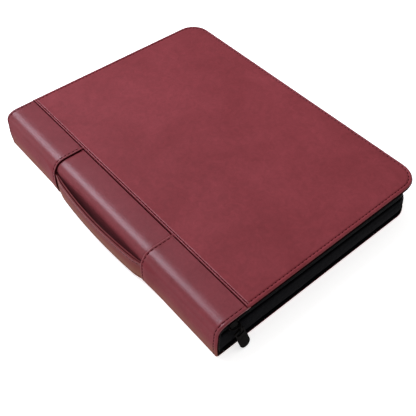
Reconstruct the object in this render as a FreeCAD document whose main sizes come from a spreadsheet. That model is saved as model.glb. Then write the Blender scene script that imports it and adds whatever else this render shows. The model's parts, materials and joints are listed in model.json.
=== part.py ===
import FreeCAD, Part
import math
import os
import re
import Sketcher

# A zip-round coin album lying shut on its back cover.
# Frame: +Z up, +Y towards the head edge, +X from the spine to the fore edge. The origin is the
# middle of the face it rests on. Lengths along X are written from the outside of the spine, and
# from_spine() moves them into the frame. A pair such as (low, high) is where a block starts and ends.

doc = FreeCAD.newDocument("CoinAlbum")
sheet = doc.addObject("Spreadsheet::Sheet", "Sizes")
SIZES = {}


def size(alias, value, what):
    """One driving dimension: a row of the sheet with its name, number and meaning."""
    row = len(SIZES) + 1
    sheet.set(f"A{row}", what)
    sheet.set(f"B{row}", str(value))
    sheet.setAlias(f"B{row}", alias)
    SIZES[alias] = value


# ---- covers -----------------------------------------------------------------------------------
size("cover_length", 340, "tail to head")
size("cover_width", 260, "spine to fore edge")
size("album_height", 45, "outside of back cover to outside of front cover")
size("corner_radius", 22, "rounding of the fore corners of both covers")
size("skin", 1.2, "leather of the front and back panels, and of every turned rim")
size("hide", 1.0, "thinner leather of the spine wrap and its end bands")
size("board", 2.4, "stiff board inside each cover and the spine")
size("lining", 0.6, "black lining cloth glued inside")
size("layers_front", 5.8, "whole thickness of the front cover")
size("seam_x", 34, "edge of the panels where they lap over the spine wrap")
size("lap", 6, "how far the wrap runs on under the panels")
size("joint_gap", 0.3, "room between pieces that move past each other")
size("flex_gap", 1.0, "board edge to the flexing leather of the front hinge")
# ---- spine ------------------------------------------------------------------------------------
size("shoulder_radius", 8, "outside rounding from spine to front cover")
size("foot_radius", 4, "outside rounding from spine to back cover")
size("foot_height", 5, "height of the back cover's rims")
size("band_space", 144, "clear length of spine between the two end bands")
size("end_rim", 2.6, "width of the leather rim turned over each spine end")
size("binding", 3.5, "width of the black binding inside each spine end")
# ---- carrying strap ---------------------------------------------------------------------------
size("strap_width", 25, "height of the strap on the spine")
size("strap_foot", 6, "underside of the strap above the table")
size("strap_layer", 1.8, "each of the strap's two leathers")
size("strap_bow", 4.7, "how far the middle stands out from the ends")
size("strap_grip", 89.4, "length of the middle that pulls out")
size("strap_tuck", 16, "length of strap under each band")
size("tuck_thick", 2.8, "thickness of the skived strap ends")
# ---- gusset and zip ---------------------------------------------------------------------------
size("gusset_inset", 3.5, "outside of the gusset in from the cover edge")
size("gusset_cloth", 1.2, "gusset wall")
size("gusset_start", 8, "where the gusset starts behind the spine")
size("zip_spine", 29, "height of the zip line at the spine")
size("zip_fore", 26, "height of the zip line at the fore edge")
size("zip_gap", 1.2, "room between the two rows of coil")
size("coil_width", 3.0, "each row of coil, across the zip")
size("coil_thick", 2.0, "each row of coil, through the wall")
size("tape_thick", 0.6, "woven tape")
size("tape_reach", 10, "edge of the tape from the zip line")
size("cloth_reach", 6.5, "edge of the gusset cloth from the zip line")
size("stop_length", 1.6, "end stops of the zip")
# ---- slider and puller ------------------------------------------------------------------------
size("slider_x", 21.2, "middle of the slider when the zip is shut")
size("slider_length", 11, "along the zip")
size("slider_height", 10, "across the zip")
size("slider_plate", 1.0, "thickness of both slider plates")
size("slider_room", 0.5, "coil to slider plate")
size("slider_post", 0.6, "thickness of the wedge that parts the coil")
size("bail_out", 3.9, "axis of the bail out from the slider's face")
size("bail_rod", 1.6, "diameter of the bail")
size("link_wire", 1.4, "diameter of the puller's link")
size("link_pitch", 5, "bail axis to tab axis")
size("link_play", 0.3, "room between link and rod")
size("link_shift", 2.6, "link along the bail from its middle")
size("link_lean", 8, "degrees the link hangs out from the wall")
size("tab_length", 23.5, "pull tab, axis to tip")
size("tab_width", 11, "pull tab")
size("tab_shift", 2.6, "middle of the tab beyond the link")
size("tab_thick", 1.4, "pull tab")
size("tab_lean", 14, "degrees the tab hangs out from the wall")
size("tab_eye", 5, "open head of the tab, along it")
# ---- ring mechanism ---------------------------------------------------------------------------
size("ring_x", 24.5, "middle of the rings from the spine")
size("ring_rise", 18, "ring centre above the lining")
size("ring_radius", 13, "to the middle of the wire")
size("ring_wire", 3.0, "ring wire")
size("ring_pitch", 70, "ring to ring")
size("ring_leg", 6.5, "upright leg of a half ring from the middle")
size("ring_part", 1.0, "degrees left open at each ring tip")
size("rail_length", 236, "housing of the rings")
size("rail_width", 22, "housing of the rings")
size("rail_height", 5, "housing of the rings")
size("rail_plate", 0.8, "sheet steel of the housing")
size("rail_ear", 7, "ears that carry the lever pin")
size("blade_width", 9.3, "each hinge plate under the housing")
size("blade_thick", 1.0, "each hinge plate under the housing")
size("blade_lift", 0.4, "hinge plate above the lining")
size("rivet_shank", 4.0, "rivets of the housing")
size("rivet_head", 8.0, "rivets of the housing")
size("rivet_y", 75, "rivets from the middle")
size("fit", 0.2, "room round pins and rivets, on the diameter")
size("pin", 2.0, "lever pins")
size("lever_hub", 3.8, "outside of the lever's hub")
size("lever_arm", 17, "lever, pin to end")
size("lever_plate", 1.4, "lever")
size("lever_width", 16, "lever pad")
size("lever_rise", 20, "degrees the lever stands up when the rings are shut")
# ---- pages ------------------------------------------------------------------------------------
size("page_end_room", 45, "page to the edge of the cover, at the tail and the head")
size("page_fore_room", 29.5, "page to the edge of the cover, at the fore edge")
size("page_thick", 1.0, "welded pocket sheet")
size("page_pitch", 3, "page to page")
size("page_margin", 7, "bound edge to the middle of the ring wire")
size("slot_length", 9.6, "punched slot, across the page")
size("slot_width", 5, "punched slot, along the page")
size("slot_shift", 1.9, "middle of the slot beyond the ring wire")

PAGES = 6
RINGS = 4
doc.recompute()


def formula(text):
    """Writes the names of sizes as cells of the sheet."""
    return re.sub(r"[a-z]\w*", lambda word: f"Sizes.{word[0]}" if word[0] in SIZES else word[0], text)


def value(text):
    """The number that a formula gives, for the few places that can't take an expression."""
    numbers = re.sub(r"[a-z]\w*", lambda word: f"({SIZES[word[0]]})", text)
    return FreeCAD.Units.Quantity(numbers).Value


def from_spine(text):
    return f"({text}) - cover_width / 2"


def bind(thing, **places):
    """Ties properties to formulas: a name with __ in it is a path, as in Placement__Base__x."""
    for name, text in places.items():
        thing.setExpression(name.replace("__", "."), formula(text))
    return thing


def place(thing, x, y, z):
    return bind(thing, Placement__Base__x=from_spine(x), Placement__Base__y=y, Placement__Base__z=z)


def named(kind, name):
    thing = doc.addObject(kind, name)
    thing.Label = name
    return thing


def block(name, x, y, z):
    """A box between three pairs of formulas."""
    box = named("Part::Box", name)
    bind(
        box,
        Length=f"({x[1]}) - ({x[0]})",
        Width=f"({y[1]}) - ({y[0]})",
        Height=f"({z[1]}) - ({z[0]})",
    )
    return place(box, x[0], y[0], z[0])


AXES = {
    "x": FreeCAD.Rotation(FreeCAD.Vector(0, 1, 0), 90),
    "y": FreeCAD.Rotation(FreeCAD.Vector(1, 0, 0), -90),
    "z": FreeCAD.Rotation(),
}


def rod(name, axis, start, length, diameter):
    """A cylinder that runs from a point along +X, +Y or +Z."""
    cylinder = named("Part::Cylinder", name)
    cylinder.Placement.Rotation = AXES[axis]
    bind(cylinder, Radius=f"({diameter}) / 2", Height=length)
    return place(cylinder, *start)


def joined(name, pieces):
    fuse = named("Part::MultiFuse", name)
    fuse.Shapes = pieces
    fuse.Refine = True
    return fuse


def shared(name, pieces):
    common = named("Part::MultiCommon", name)
    common.Shapes = pieces
    return common


def cut(name, base, tool):
    result = named("Part::Cut", name)
    result.Base = base
    result.Tool = tool
    return result


def group(name, pieces):
    """Several separate solids that share one node."""
    compound = named("Part::Compound", name)
    compound.Links = pieces
    return compound


def round_fore(name, base, radius):
    """Rounds the two upright edges at the fore side of a plate."""
    doc.recompute([base])
    far = base.Shape.BoundBox.XMax
    picked = []
    for number, edge in enumerate(base.Shape.Edges, 1):
        box = edge.BoundBox
        if box.XMin > far - 0.001 and box.ZLength > 0.5 and box.YLength < 0.001:
            picked.append((number, radius, radius))
    fillet = named("Part::Fillet", name)
    fillet.Base = base
    fillet.Edges = picked
    return fillet


def plate(name, x, inset, z):
    """A cover-shaped layer whose free edges are set in from the edge of the cover."""
    half = f"cover_length / 2 - ({inset})"
    base = block(name + "_block", (x, f"cover_width - ({inset})"), (f"-({half})", half), z)
    return round_fore(name, base, value(f"corner_radius - ({inset})"))


# Heights of the layers, from the table up.
BACK_CORE = "(2 * hide)"
BACK_INSIDE = f"({BACK_CORE} + board)"
FLOOR = "foot_height"
CEILING = "(album_height - layers_front)"
FRONT_CORE = f"({CEILING} + lining)"
FRONT_BOARD_TOP = f"({FRONT_CORE} + board)"
WRAP_TOP = f"({FRONT_BOARD_TOP} + hide)"
BAND_TOP = f"({WRAP_TOP} + hide)"
SHOULDER = f"({BAND_TOP} - shoulder_radius)"
SPINE_FOOT = f"({FLOOR} + joint_gap)"
END = "cover_length / 2"
INSIDE_END = "(cover_length / 2 - skin)"
BAND_EDGE = "band_space / 2"
FRONT_START = "(shoulder_radius + joint_gap)"

nodes = {}


def keep(thing):
    """Marks a finished sub-part: its label is the name of its file."""
    nodes[thing.Label] = thing
    return thing


def both_ends(make):
    """The same sub-part at the tail and at the head: make(end name, low-to-high pair maker)."""
    make("tail", lambda near, far: (f"-({far})", f"-({near})"))
    make("head", lambda near, far: (near, far))


# ---- front cover ------------------------------------------------------------------------------
def front_cover():
    hollow = joined("front_panel_hollow", [
        plate("front_panel_inside", "seam_x - 1", "skin", (f"{CEILING} - 1", "album_height - skin")),
        block("front_panel_step", ("seam_x - 1", "seam_x + lap"),
              (f"-{INSIDE_END}", INSIDE_END), (f"{CEILING} - 1", BAND_TOP)),
    ])
    keep(cut("front_panel", plate("front_panel_outside", "seam_x", "0", (CEILING, "album_height")), hollow))
    keep(plate("front_foam", "seam_x + lap", "skin", (FRONT_BOARD_TOP, "album_height - skin")))
    keep(plate("front_board", "shoulder_radius + flex_gap", "skin", (FRONT_CORE, FRONT_BOARD_TOP)))
    keep(plate("front_lining", "shoulder_radius + flex_gap", "skin", (CEILING, FRONT_CORE)))
    keep(block("front_wrap", (FRONT_START, "seam_x + lap"), (f"-{INSIDE_END}", INSIDE_END),
               (FRONT_BOARD_TOP, WRAP_TOP)))

    def front_band(end, span):
        keep(joined(f"front_band_{end}", [
            block(f"front_band_{end}_face", (FRONT_START, "seam_x + lap"), span(BAND_EDGE, INSIDE_END),
                  (WRAP_TOP, BAND_TOP)),
            block(f"front_band_{end}_rim", (FRONT_START, "seam_x"), span(INSIDE_END, END),
                  (CEILING, BAND_TOP)),
        ]))

    both_ends(front_band)


# ---- spine ------------------------------------------------------------------------------------
def shoulder(name, y, outside, inside):
    """Upright wall of the spine and the quarter turn above it, between two depths of leather."""
    turn = shared(name + "_turn", [
        cut(name + "_ring",
            rod(name + "_outer", "y", ("shoulder_radius", y[0], SHOULDER), f"({y[1]}) - ({y[0]})",
                f"2 * (shoulder_radius - ({outside}))"),
            rod(name + "_inner", "y", ("shoulder_radius", y[0], SHOULDER), f"({y[1]}) - ({y[0]})",
                f"2 * (shoulder_radius - ({inside}))")),
        block(name + "_quarter", ("0", "shoulder_radius"), y, (SHOULDER, "album_height")),
    ])
    return [turn, block(name + "_wall", (outside, inside), y, (SPINE_FOOT, SHOULDER))]


def spine():
    keep(joined("spine_wrap", shoulder("spine_wrap", (f"-{INSIDE_END}", INSIDE_END), "hide", "2 * hide")))
    inner = "(2 * hide + board)"
    keep(block("spine_board", ("2 * hide", inner), (f"-{INSIDE_END}", INSIDE_END), (SPINE_FOOT, SHOULDER)))
    keep(block("spine_lining", (inner, f"{inner} + lining"), (f"-{INSIDE_END}", INSIDE_END),
               (SPINE_FOOT, SHOULDER)))

    def spine_end(end, span):
        tuck = block(f"band_{end}_tuck", ("hide - tuck_thick", "hide"),
                     span(BAND_EDGE, f"{BAND_EDGE} + strap_tuck"),
                     ("strap_foot", "strap_foot + strap_width"))
        hood = block(f"band_{end}_hood", ("-tuck_thick", "hide"),
                     span(BAND_EDGE, f"{BAND_EDGE} + strap_tuck + 2 * hide"),
                     (SPINE_FOOT, "strap_foot + strap_width + 2 * hide"))
        face = joined(f"band_{end}_whole",
                      shoulder(f"band_{end}", span(BAND_EDGE, INSIDE_END), "0", "hide")
                      + shoulder(f"band_{end}_rim", span(INSIDE_END, END), "0", "end_rim")
                      + [hood])
        keep(cut(f"spine_band_{end}", face, tuck))
        keep(block(f"spine_binding_{end}", ("end_rim", "end_rim + binding"),
                   span(INSIDE_END, f"{INSIDE_END} + hide"), (SPINE_FOOT, SHOULDER)))

    both_ends(spine_end)


# ---- carrying strap ---------------------------------------------------------------------------
STRAP_BEND = "((band_space^2 / 4 + strap_bow^2) / (2 * strap_bow))"
STRAP_SEAT = "(hide - joint_gap)"


def strap_arc(name, near, far):
    """A bowed sheet standing on edge, between two distances from the strap's inner face."""
    middle = (f"{STRAP_SEAT} - strap_bow + {STRAP_BEND}", "0", "strap_foot")
    return cut(
        name,
        rod(name + "_outer", "z", middle, "strap_width", f"2 * ({STRAP_BEND} + {far})"),
        rod(name + "_inner", "z", middle, "strap_width", f"2 * ({STRAP_BEND} + {near})"),
    )


def strap():
    deep = ("-20", "strap_bow")
    tall = ("strap_foot", "strap_foot + strap_width")
    for name, near, far in (("strap_grip_lining", "0", "strap_layer"),
                            ("strap_grip_face", "strap_layer", "2 * strap_layer")):
        keep(shared(name, [
            strap_arc(name + "_arc", near, far),
            block(name + "_reach", deep, ("-strap_grip / 2", "strap_grip / 2"), tall),
        ]))

    def strap_end(end, span):
        keep(joined(f"strap_end_{end}", [
            shared(f"strap_end_{end}_free", [
                strap_arc(f"strap_end_{end}_arc", "0", "2 * strap_layer"),
                block(f"strap_end_{end}_reach", deep, span("strap_grip / 2 + joint_gap", BAND_EDGE), tall),
            ]),
            block(f"strap_end_{end}_tuck", ("hide - tuck_thick", "hide"),
                  span(BAND_EDGE, f"{BAND_EDGE} + strap_tuck"), tall),
        ]))

    both_ends(strap_end)


# ---- back cover -------------------------------------------------------------------------------
def foot(name, y, outside, inside):
    """The quarter turn from the back cover up to the spine, with its short upright."""
    turn = shared(name + "_turn", [
        cut(name + "_ring",
            rod(name + "_outer", "y", ("foot_radius", y[0], "foot_radius"), f"({y[1]}) - ({y[0]})",
                f"2 * (foot_radius - ({outside}))"),
            rod(name + "_inner", "y", ("foot_radius", y[0], "foot_radius"), f"({y[1]}) - ({y[0]})",
                f"2 * (foot_radius - ({inside}))")),
        block(name + "_quarter", ("0", "foot_radius"), y, ("0", "foot_radius")),
    ])
    return [turn, block(name + "_stand", (outside, inside), y, ("foot_radius", FLOOR))]


def back_cover():
    core_start = "(2 * hide + board + lining + joint_gap)"
    hollow = joined("back_panel_hollow", [
        plate("back_panel_inside", "seam_x + lap", "skin", ("skin", f"{FLOOR} + 1")),
        block("back_panel_step", ("seam_x - 1", "seam_x + lap"),
              (f"-{INSIDE_END}", INSIDE_END), ("hide", f"{FLOOR} + 1")),
    ])
    keep(cut("back_panel", plate("back_panel_outside", "seam_x", "0", ("0", FLOOR)), hollow))
    keep(plate("back_felt", "seam_x + lap", "skin", ("skin", BACK_CORE)))
    rivets = group("rivet_holes", [
        rod(f"rivet_hole_{side}", "z", ("ring_x", f"{side}1 * rivet_y", "0"), "album_height / 2",
            "rivet_shank + fit")
        for side in ("-", "+")
    ])
    keep(cut("back_board", plate("back_board_whole", core_start, "skin", (BACK_CORE, BACK_INSIDE)), rivets))
    keep(cut("back_lining", plate("back_lining_whole", core_start, "skin", (BACK_INSIDE, FLOOR)), rivets))
    full = (f"-{INSIDE_END}", INSIDE_END)
    keep(joined("back_wrap", foot("back_wrap", full, "hide", "2 * hide")
                + [block("back_wrap_sheet", ("foot_radius", "seam_x + lap"), full, ("hide", BACK_CORE))]))

    def back_band(end, span):
        keep(joined(f"back_band_{end}",
                    foot(f"back_band_{end}", span(BAND_EDGE, INSIDE_END), "0", "hide")
                    + foot(f"back_band_{end}_edge", span(INSIDE_END, END), "0", "end_rim")
                    + [block(f"back_band_{end}_sheet", ("foot_radius", "seam_x"),
                             span(BAND_EDGE, END), ("0", "hide")),
                       block(f"back_band_{end}_rim", ("foot_radius", "seam_x"),
                             span(INSIDE_END, END), ("0", FLOOR))]))

    both_ends(back_band)
    return rivets


# ---- gusset and zip ---------------------------------------------------------------------------
ZIP_SLOPE = math.degrees(math.atan2(SIZES["zip_spine"] - SIZES["zip_fore"], SIZES["cover_width"]))


def round_wall(name, start, inset, thick):
    """A wall set in from the cover edge that runs round the tail, fore and head sides."""
    outer = plate(name + "_outer", start, inset, ("0", "album_height"))
    inner = plate(name + "_inner", f"{start} - 1", f"{inset} + {thick}", ("-1", "album_height + 1"))
    return cut(name, outer, inner)


def along_zip(name, low, high):
    """A slab that follows the sloping zip line, between two heights above it."""
    slab = named("Part::Box", name)
    slab.Placement.Rotation = FreeCAD.Rotation(FreeCAD.Vector(0, 1, 0), ZIP_SLOPE)
    bind(slab, Length="cover_width * 1.2", Width="cover_length", Height=f"({high}) - ({low})")
    return place(slab, "0", "-cover_length / 2", f"zip_spine + ({low})")


def gusset():
    corner = "(cover_width - corner_radius)"
    turn = "(cover_length / 2 - corner_radius)"
    whole = ("-cover_length / 2", "cover_length / 2")
    clear = ("0", "album_height")
    for level in ("lower", "upper"):
        wall = round_wall(f"{level}_wall", "gusset_start", "gusset_inset", "gusset_cloth")
        if level == "upper":
            cloth = along_zip("upper_cloth", "cloth_reach", "album_height")
            limit = block("upper_limit", ("0", "cover_width"), whole, ("0", CEILING))
        else:
            cloth = along_zip("lower_cloth", "-album_height", "-cloth_reach")
            limit = block("lower_limit", ("0", "cover_width"), whole, (FLOOR, "album_height"))
        sheet_wall = shared(f"{level}_gusset_whole", [wall, cloth, limit])

        def stretch(name, x, y):
            return shared(name, [sheet_wall, block(name + "_reach", x, y, clear)])

        keep(stretch(f"{level}_gusset_tail", ("0", corner), ("-cover_length / 2", f"-{turn}")))
        keep(stretch(f"{level}_gusset_head", ("0", corner), (turn, "cover_length / 2")))
        keep(stretch(f"{level}_gusset_fore", (corner, "cover_width"), (f"-{turn}", turn)))
        keep(group(f"{level}_gusset_corners", [
            stretch(f"{level}_corner_tail", (corner, "cover_width"), ("-cover_length / 2", f"-{turn}")),
            stretch(f"{level}_corner_head", (corner, "cover_width"), (turn, "cover_length / 2")),
        ]))

        def away(near, far):
            return (near, far) if level == "upper" else (f"-({far})", f"-({near})")

        coil_far = "(zip_gap / 2 + coil_width)"
        keep(shared(f"{level}_zip_tape", [
            round_wall(f"{level}_tape_wall", "gusset_start", "gusset_inset + gusset_cloth", "tape_thick"),
            along_zip(f"{level}_tape_slab", *away(coil_far, "tape_reach")),
        ]))
        coil_inset = "gusset_inset + gusset_cloth + tape_thick / 2 - coil_thick / 2"
        keep(shared(f"{level}_zip_coil", [
            round_wall(f"{level}_coil_wall", "gusset_start + stop_length", coil_inset, "coil_thick"),
            along_zip(f"{level}_coil_slab", *away("zip_gap / 2", coil_far)),
        ]))
        low, high = away("zip_gap / 2", f"({coil_far} - joint_gap)")
        outside = f"(cover_length / 2 - ({coil_inset}))"
        spans = (("tail", (f"-{outside}", f"-({outside} - coil_thick)")),
                 ("head", (f"{outside} - coil_thick", outside)))
        keep(group(f"{level}_zip_stops", [
            block(f"{level}_stop_{end}", ("gusset_start", "gusset_start + stop_length"), span,
                  (f"zip_spine + ({low})", f"zip_spine + ({high})"))
            for end, span in spans
        ]))


# ---- slider and puller ------------------------------------------------------------------------
COIL_OUT = "(cover_length / 2 - gusset_inset - gusset_cloth - tape_thick / 2 + coil_thick / 2)"
ZIP_AT_SLIDER = "(zip_spine - (zip_spine - zip_fore) * slider_x / cover_width)"
SLIDER_FACE = f"({COIL_OUT} + slider_room + slider_plate)"
BAIL_Y = f"({SLIDER_FACE} + bail_out)"
LINK_X = "(slider_x + link_shift)"
TAB_Y = f"({BAIL_Y} + link_pitch * sin(link_lean))"
TAB_Z = f"({ZIP_AT_SLIDER} - link_pitch * cos(link_lean))"


def slider():
    reach = ("slider_x - slider_length / 2", "slider_x + slider_length / 2")
    tall = (f"{ZIP_AT_SLIDER} - slider_height / 2", f"{ZIP_AT_SLIDER} + slider_height / 2")
    behind = f"({COIL_OUT} - coil_thick - slider_room)"
    keep(joined("slider_body", [
        block("slider_front", reach, (f"-{SLIDER_FACE}", f"-({COIL_OUT} + slider_room)"), tall),
        block("slider_back", reach, (f"-{behind}", f"-({behind} - slider_plate)"), tall),
        block("slider_wedge", ("slider_x - slider_length / 2", "slider_x - slider_length / 2 + 3"),
              (f"-{SLIDER_FACE}", f"-({behind} - slider_plate)"),
              (f"{ZIP_AT_SLIDER} - slider_post / 2", f"{ZIP_AT_SLIDER} + slider_post / 2")),
    ]))
    ends = ("slider_x - slider_length / 2 + 0.6 * bail_rod", "slider_x + slider_length / 2 - 0.6 * bail_rod")
    legs = [rod(f"bail_leg_{number}", "y", (x, f"-{BAIL_Y}", ZIP_AT_SLIDER), "bail_out", "bail_rod")
            for number, x in enumerate(ends, 1)]
    elbows = []
    for number, x in enumerate(ends, 1):
        elbow = named("Part::Sphere", f"bail_elbow_{number}")
        bind(elbow, Radius="bail_rod / 2")
        elbows.append(place(elbow, x, f"-{BAIL_Y}", ZIP_AT_SLIDER))
    bar = rod("bail_bar", "x", (ends[0], f"-{BAIL_Y}", ZIP_AT_SLIDER), f"({ends[1]}) - ({ends[0]})", "bail_rod")
    keep(joined("slider_bail", legs + elbows + [bar]))


def puller():
    """An oval link round the bail, and a flat tab whose open head hangs in the link."""
    turn = value("bail_rod / 2 + link_play + link_wire / 2")
    wire = value("link_wire / 2")
    pitch = value("link_pitch")
    path = Part.Wire([
        Part.Arc(FreeCAD.Vector(0, turn, 0), FreeCAD.Vector(0, 0, turn), FreeCAD.Vector(0, -turn, 0)).toShape(),
        Part.LineSegment(FreeCAD.Vector(0, -turn, 0), FreeCAD.Vector(0, -turn, -pitch)).toShape(),
        Part.Arc(FreeCAD.Vector(0, -turn, -pitch), FreeCAD.Vector(0, 0, -pitch - turn),
                 FreeCAD.Vector(0, turn, -pitch)).toShape(),
        Part.LineSegment(FreeCAD.Vector(0, turn, -pitch), FreeCAD.Vector(0, turn, 0)).toShape(),
    ])
    ring = Part.Wire([Part.makeCircle(wire, FreeCAD.Vector(0, turn, 0), FreeCAD.Vector(0, 0, 1))])
    link = named("Part::Feature", "puller_link")
    link.Shape = path.makePipeShell([ring], True, True)
    link.Placement.Rotation = FreeCAD.Rotation(FreeCAD.Vector(1, 0, 0), -SIZES["link_lean"])
    keep(place(link, LINK_X, f"-{BAIL_Y}", ZIP_AT_SLIDER))

    bar = SIZES["tab_thick"] / 2
    half = value("tab_width / 2")
    eye = value("tab_eye")
    length = value("tab_length")
    round_start = -(length - half)
    outline = Part.Wire([
        Part.LineSegment(FreeCAD.Vector(-half, 0, 0), FreeCAD.Vector(half, 0, 0)).toShape(),
        Part.LineSegment(FreeCAD.Vector(half, 0, 0), FreeCAD.Vector(half, 0, round_start)).toShape(),
        Part.Arc(FreeCAD.Vector(half, 0, round_start), FreeCAD.Vector(0, 0, -length),
                 FreeCAD.Vector(-half, 0, round_start)).toShape(),
        Part.LineSegment(FreeCAD.Vector(-half, 0, round_start), FreeCAD.Vector(-half, 0, 0)).toShape(),
    ])
    blank = Part.Face(outline).extrude(FreeCAD.Vector(0, 2 * bar, 0))
    blank.translate(FreeCAD.Vector(0, -bar, 0))
    window = Part.makeBox(2 * (half - 2 * bar), 4 * bar, eye, FreeCAD.Vector(-(half - 2 * bar), -2 * bar, -eye))
    head = Part.makeCylinder(bar, 2 * half, FreeCAD.Vector(-half, 0, 0), FreeCAD.Vector(1, 0, 0))
    tab = named("Part::Feature", "pull_tab")
    tab.Shape = blank.cut(window).fuse(head).removeSplitter()
    tab.Placement.Rotation = FreeCAD.Rotation(FreeCAD.Vector(1, 0, 0), -SIZES["tab_lean"])
    keep(place(tab, f"{LINK_X} + tab_shift", f"-{TAB_Y}", TAB_Z))


# ---- ring mechanism ---------------------------------------------------------------------------
RING_Z = f"({FLOOR} + ring_rise)"
RAIL_TOP = f"({FLOOR} + rail_height)"
BLADE_Z = f"({FLOOR} + blade_lift)"
PIN_Z = f"({FLOOR} + lever_hub / 2 + joint_gap)"
PIN_Y = "(rail_length / 2 + rail_ear / 2)"
RING_PLACES = [f"ring_pitch * ({number} - {(RINGS - 1) / 2})" for number in range(RINGS)]


def ring_rail(rivet_holes):
    half = "rail_length / 2"
    side = "rail_width / 2"
    channel = cut(
        "rail_channel",
        block("rail_outside", (f"ring_x - {side}", f"ring_x + {side}"), (f"-{half} - rail_ear", f"{half} + rail_ear"),
              (FLOOR, RAIL_TOP)),
        block("rail_inside", (f"ring_x - {side} + rail_plate", f"ring_x + {side} - rail_plate"),
              (f"-{half} - 2 * rail_ear", f"{half} + 2 * rail_ear"), (f"{FLOOR} - 1", f"{RAIL_TOP} - rail_plate")),
    )
    openings = [rivet_holes]
    for end in ("-", "+"):
        low, high = (f"-{half} - rail_ear - 1", f"-{half}") if end == "-" else (half, f"{half} + rail_ear + 1")
        openings.append(block(f"rail_mouth_{len(openings)}",
                              (f"ring_x - {side} + rail_plate", f"ring_x + {side} - rail_plate"),
                              (low, high), (FLOOR, f"{RAIL_TOP} + 1")))
        openings.append(rod(f"rail_pin_hole_{len(openings)}", "x",
                            (f"ring_x - {side} - 1", f"{end}1 * {PIN_Y}", PIN_Z), "rail_width + 2", "pin + fit"))
    for number, y in enumerate(RING_PLACES, 1):
        for mark, sign in (("left", "-"), ("right", "+")):
            centre = f"ring_x {sign} (ring_leg + ring_wire / 4)"
            openings.append(block(f"rail_notch_{mark}_{number}",
                                  (f"{centre} - ring_wire", f"{centre} + ring_wire"),
                                  (f"{y} - ring_wire * 0.75", f"{y} + ring_wire * 0.75"),
                                  (f"{RAIL_TOP} - 2 * rail_plate", f"{RAIL_TOP} + 1")))
    keep(cut("ring_rail", channel, joined("rail_openings", openings)))
    keep(group("rail_rivets", [
        joined(f"rail_rivet_{number}", [
            rod(f"rivet_shank_{number}", "z", ("ring_x", f"{side_sign}1 * rivet_y", BACK_CORE),
                f"{RAIL_TOP} - {BACK_CORE}", "rivet_shank"),
            rod(f"rivet_head_{number}", "z", ("ring_x", f"{side_sign}1 * rivet_y", RAIL_TOP),
                "1.5 * rail_plate", "rivet_head"),
        ])
        for number, side_sign in enumerate(("-", "+"), 1)
    ]))


def half_ring(name, mirror, y):
    """Arc of one half ring from its tip down to the leg that stands on the hinge plate."""
    radius = SIZES["ring_radius"]
    wire = SIZES["ring_wire"] / 2
    leg = SIZES["ring_leg"]
    tip = math.radians(90 + SIZES["ring_part"])
    low = math.pi + math.acos(leg / radius)
    middle = (tip + low) / 2

    def point(angle):
        return FreeCAD.Vector(mirror * radius * math.cos(angle), 0, radius * math.sin(angle))

    start = point(tip)
    along = FreeCAD.Vector(-mirror * radius * math.sin(tip), 0, radius * math.cos(tip))
    arc = Part.Wire([Part.Arc(start, point(middle), point(low)).toShape()])
    wire_ring = Part.Wire([Part.makeCircle(wire, start, along)])
    bend = arc.makePipeShell([wire_ring], True, True)
    foot_point = point(low)
    drop = value(f"{RING_Z} - ({BLADE_Z} + blade_thick)") + foot_point.z
    knee = Part.makeSphere(wire, foot_point)
    upright = Part.makeCylinder(wire, drop, foot_point, FreeCAD.Vector(0, 0, -1))
    half = named("Part::Feature", name)
    half.Shape = bend.fuse([knee, upright]).removeSplitter()
    return place(half, "ring_x", y, RING_Z)


def rings():
    long = ("-(rail_length / 2 - 2)", "rail_length / 2 - 2")
    for mark, mirror in (("left", 1), ("right", -1)):
        if mirror == 1:
            reach = ("ring_x - joint_gap / 2 - blade_width", "ring_x - joint_gap / 2")
        else:
            reach = ("ring_x + joint_gap / 2", "ring_x + joint_gap / 2 + blade_width")
        blade = block(f"{mark}_blade_strip", reach, long, (BLADE_Z, f"{BLADE_Z} + blade_thick"))
        holes = group(f"{mark}_blade_holes", [
            rod(f"{mark}_blade_hole_{number}", "z", ("ring_x", f"{sign}1 * rivet_y", FLOOR), "rail_height",
                "rivet_head")
            for number, sign in enumerate(("-", "+"), 1)
        ])
        keep(cut(f"{mark}_blade", blade, holes))
        keep(group(f"{mark}_half_rings", [
            half_ring(f"{mark}_half_ring_{number}", mirror, y) for number, y in enumerate(RING_PLACES, 1)
        ]))


def levers():
    hub_half = "(rail_width / 2 - rail_plate - joint_gap)"
    rise = SIZES["lever_rise"]
    # The tail lever is the head lever turned over, so it is lifted by the thickness of its plate.
    lifted = (f"-{PIN_Y} - lever_plate * sin(lever_rise)", f"{PIN_Z} + lever_plate * cos(lever_rise)")
    for end, mark, turn, seat in (("tail", "-", 180 - rise, lifted), ("head", "+", rise, (PIN_Y, PIN_Z))):
        hub = rod(f"lever_hub_{end}", "x", (f"ring_x - {hub_half}", f"{mark}1 * {PIN_Y}", PIN_Z),
                  f"2 * {hub_half}", "lever_hub")
        arm = named("Part::Box", f"lever_arm_{end}")
        arm.Placement.Rotation = FreeCAD.Rotation(FreeCAD.Vector(1, 0, 0), turn)
        bind(arm, Length="lever_width", Width="lever_arm", Height="lever_plate")
        place(arm, "ring_x - lever_width / 2", *seat)
        bore = rod(f"lever_bore_{end}", "x", (f"ring_x - {hub_half} - 1", f"{mark}1 * {PIN_Y}", PIN_Z),
                   f"2 * {hub_half} + 2", "pin + fit")
        keep(cut(f"lever_{end}", joined(f"lever_{end}_whole", [hub, arm]), bore))
    keep(group("lever_pins", [
        rod(f"lever_pin_{end}", "x", ("ring_x - rail_width / 2", f"{mark}1 * {PIN_Y}", PIN_Z), "rail_width", "pin")
        for end, mark in (("tail", "-"), ("head", "+"))
    ]))


# ---- pages ------------------------------------------------------------------------------------
def origin_plane(body, role):
    return next(feature for feature in body.Origin.OriginFeatures if feature.Role == role)


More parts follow.
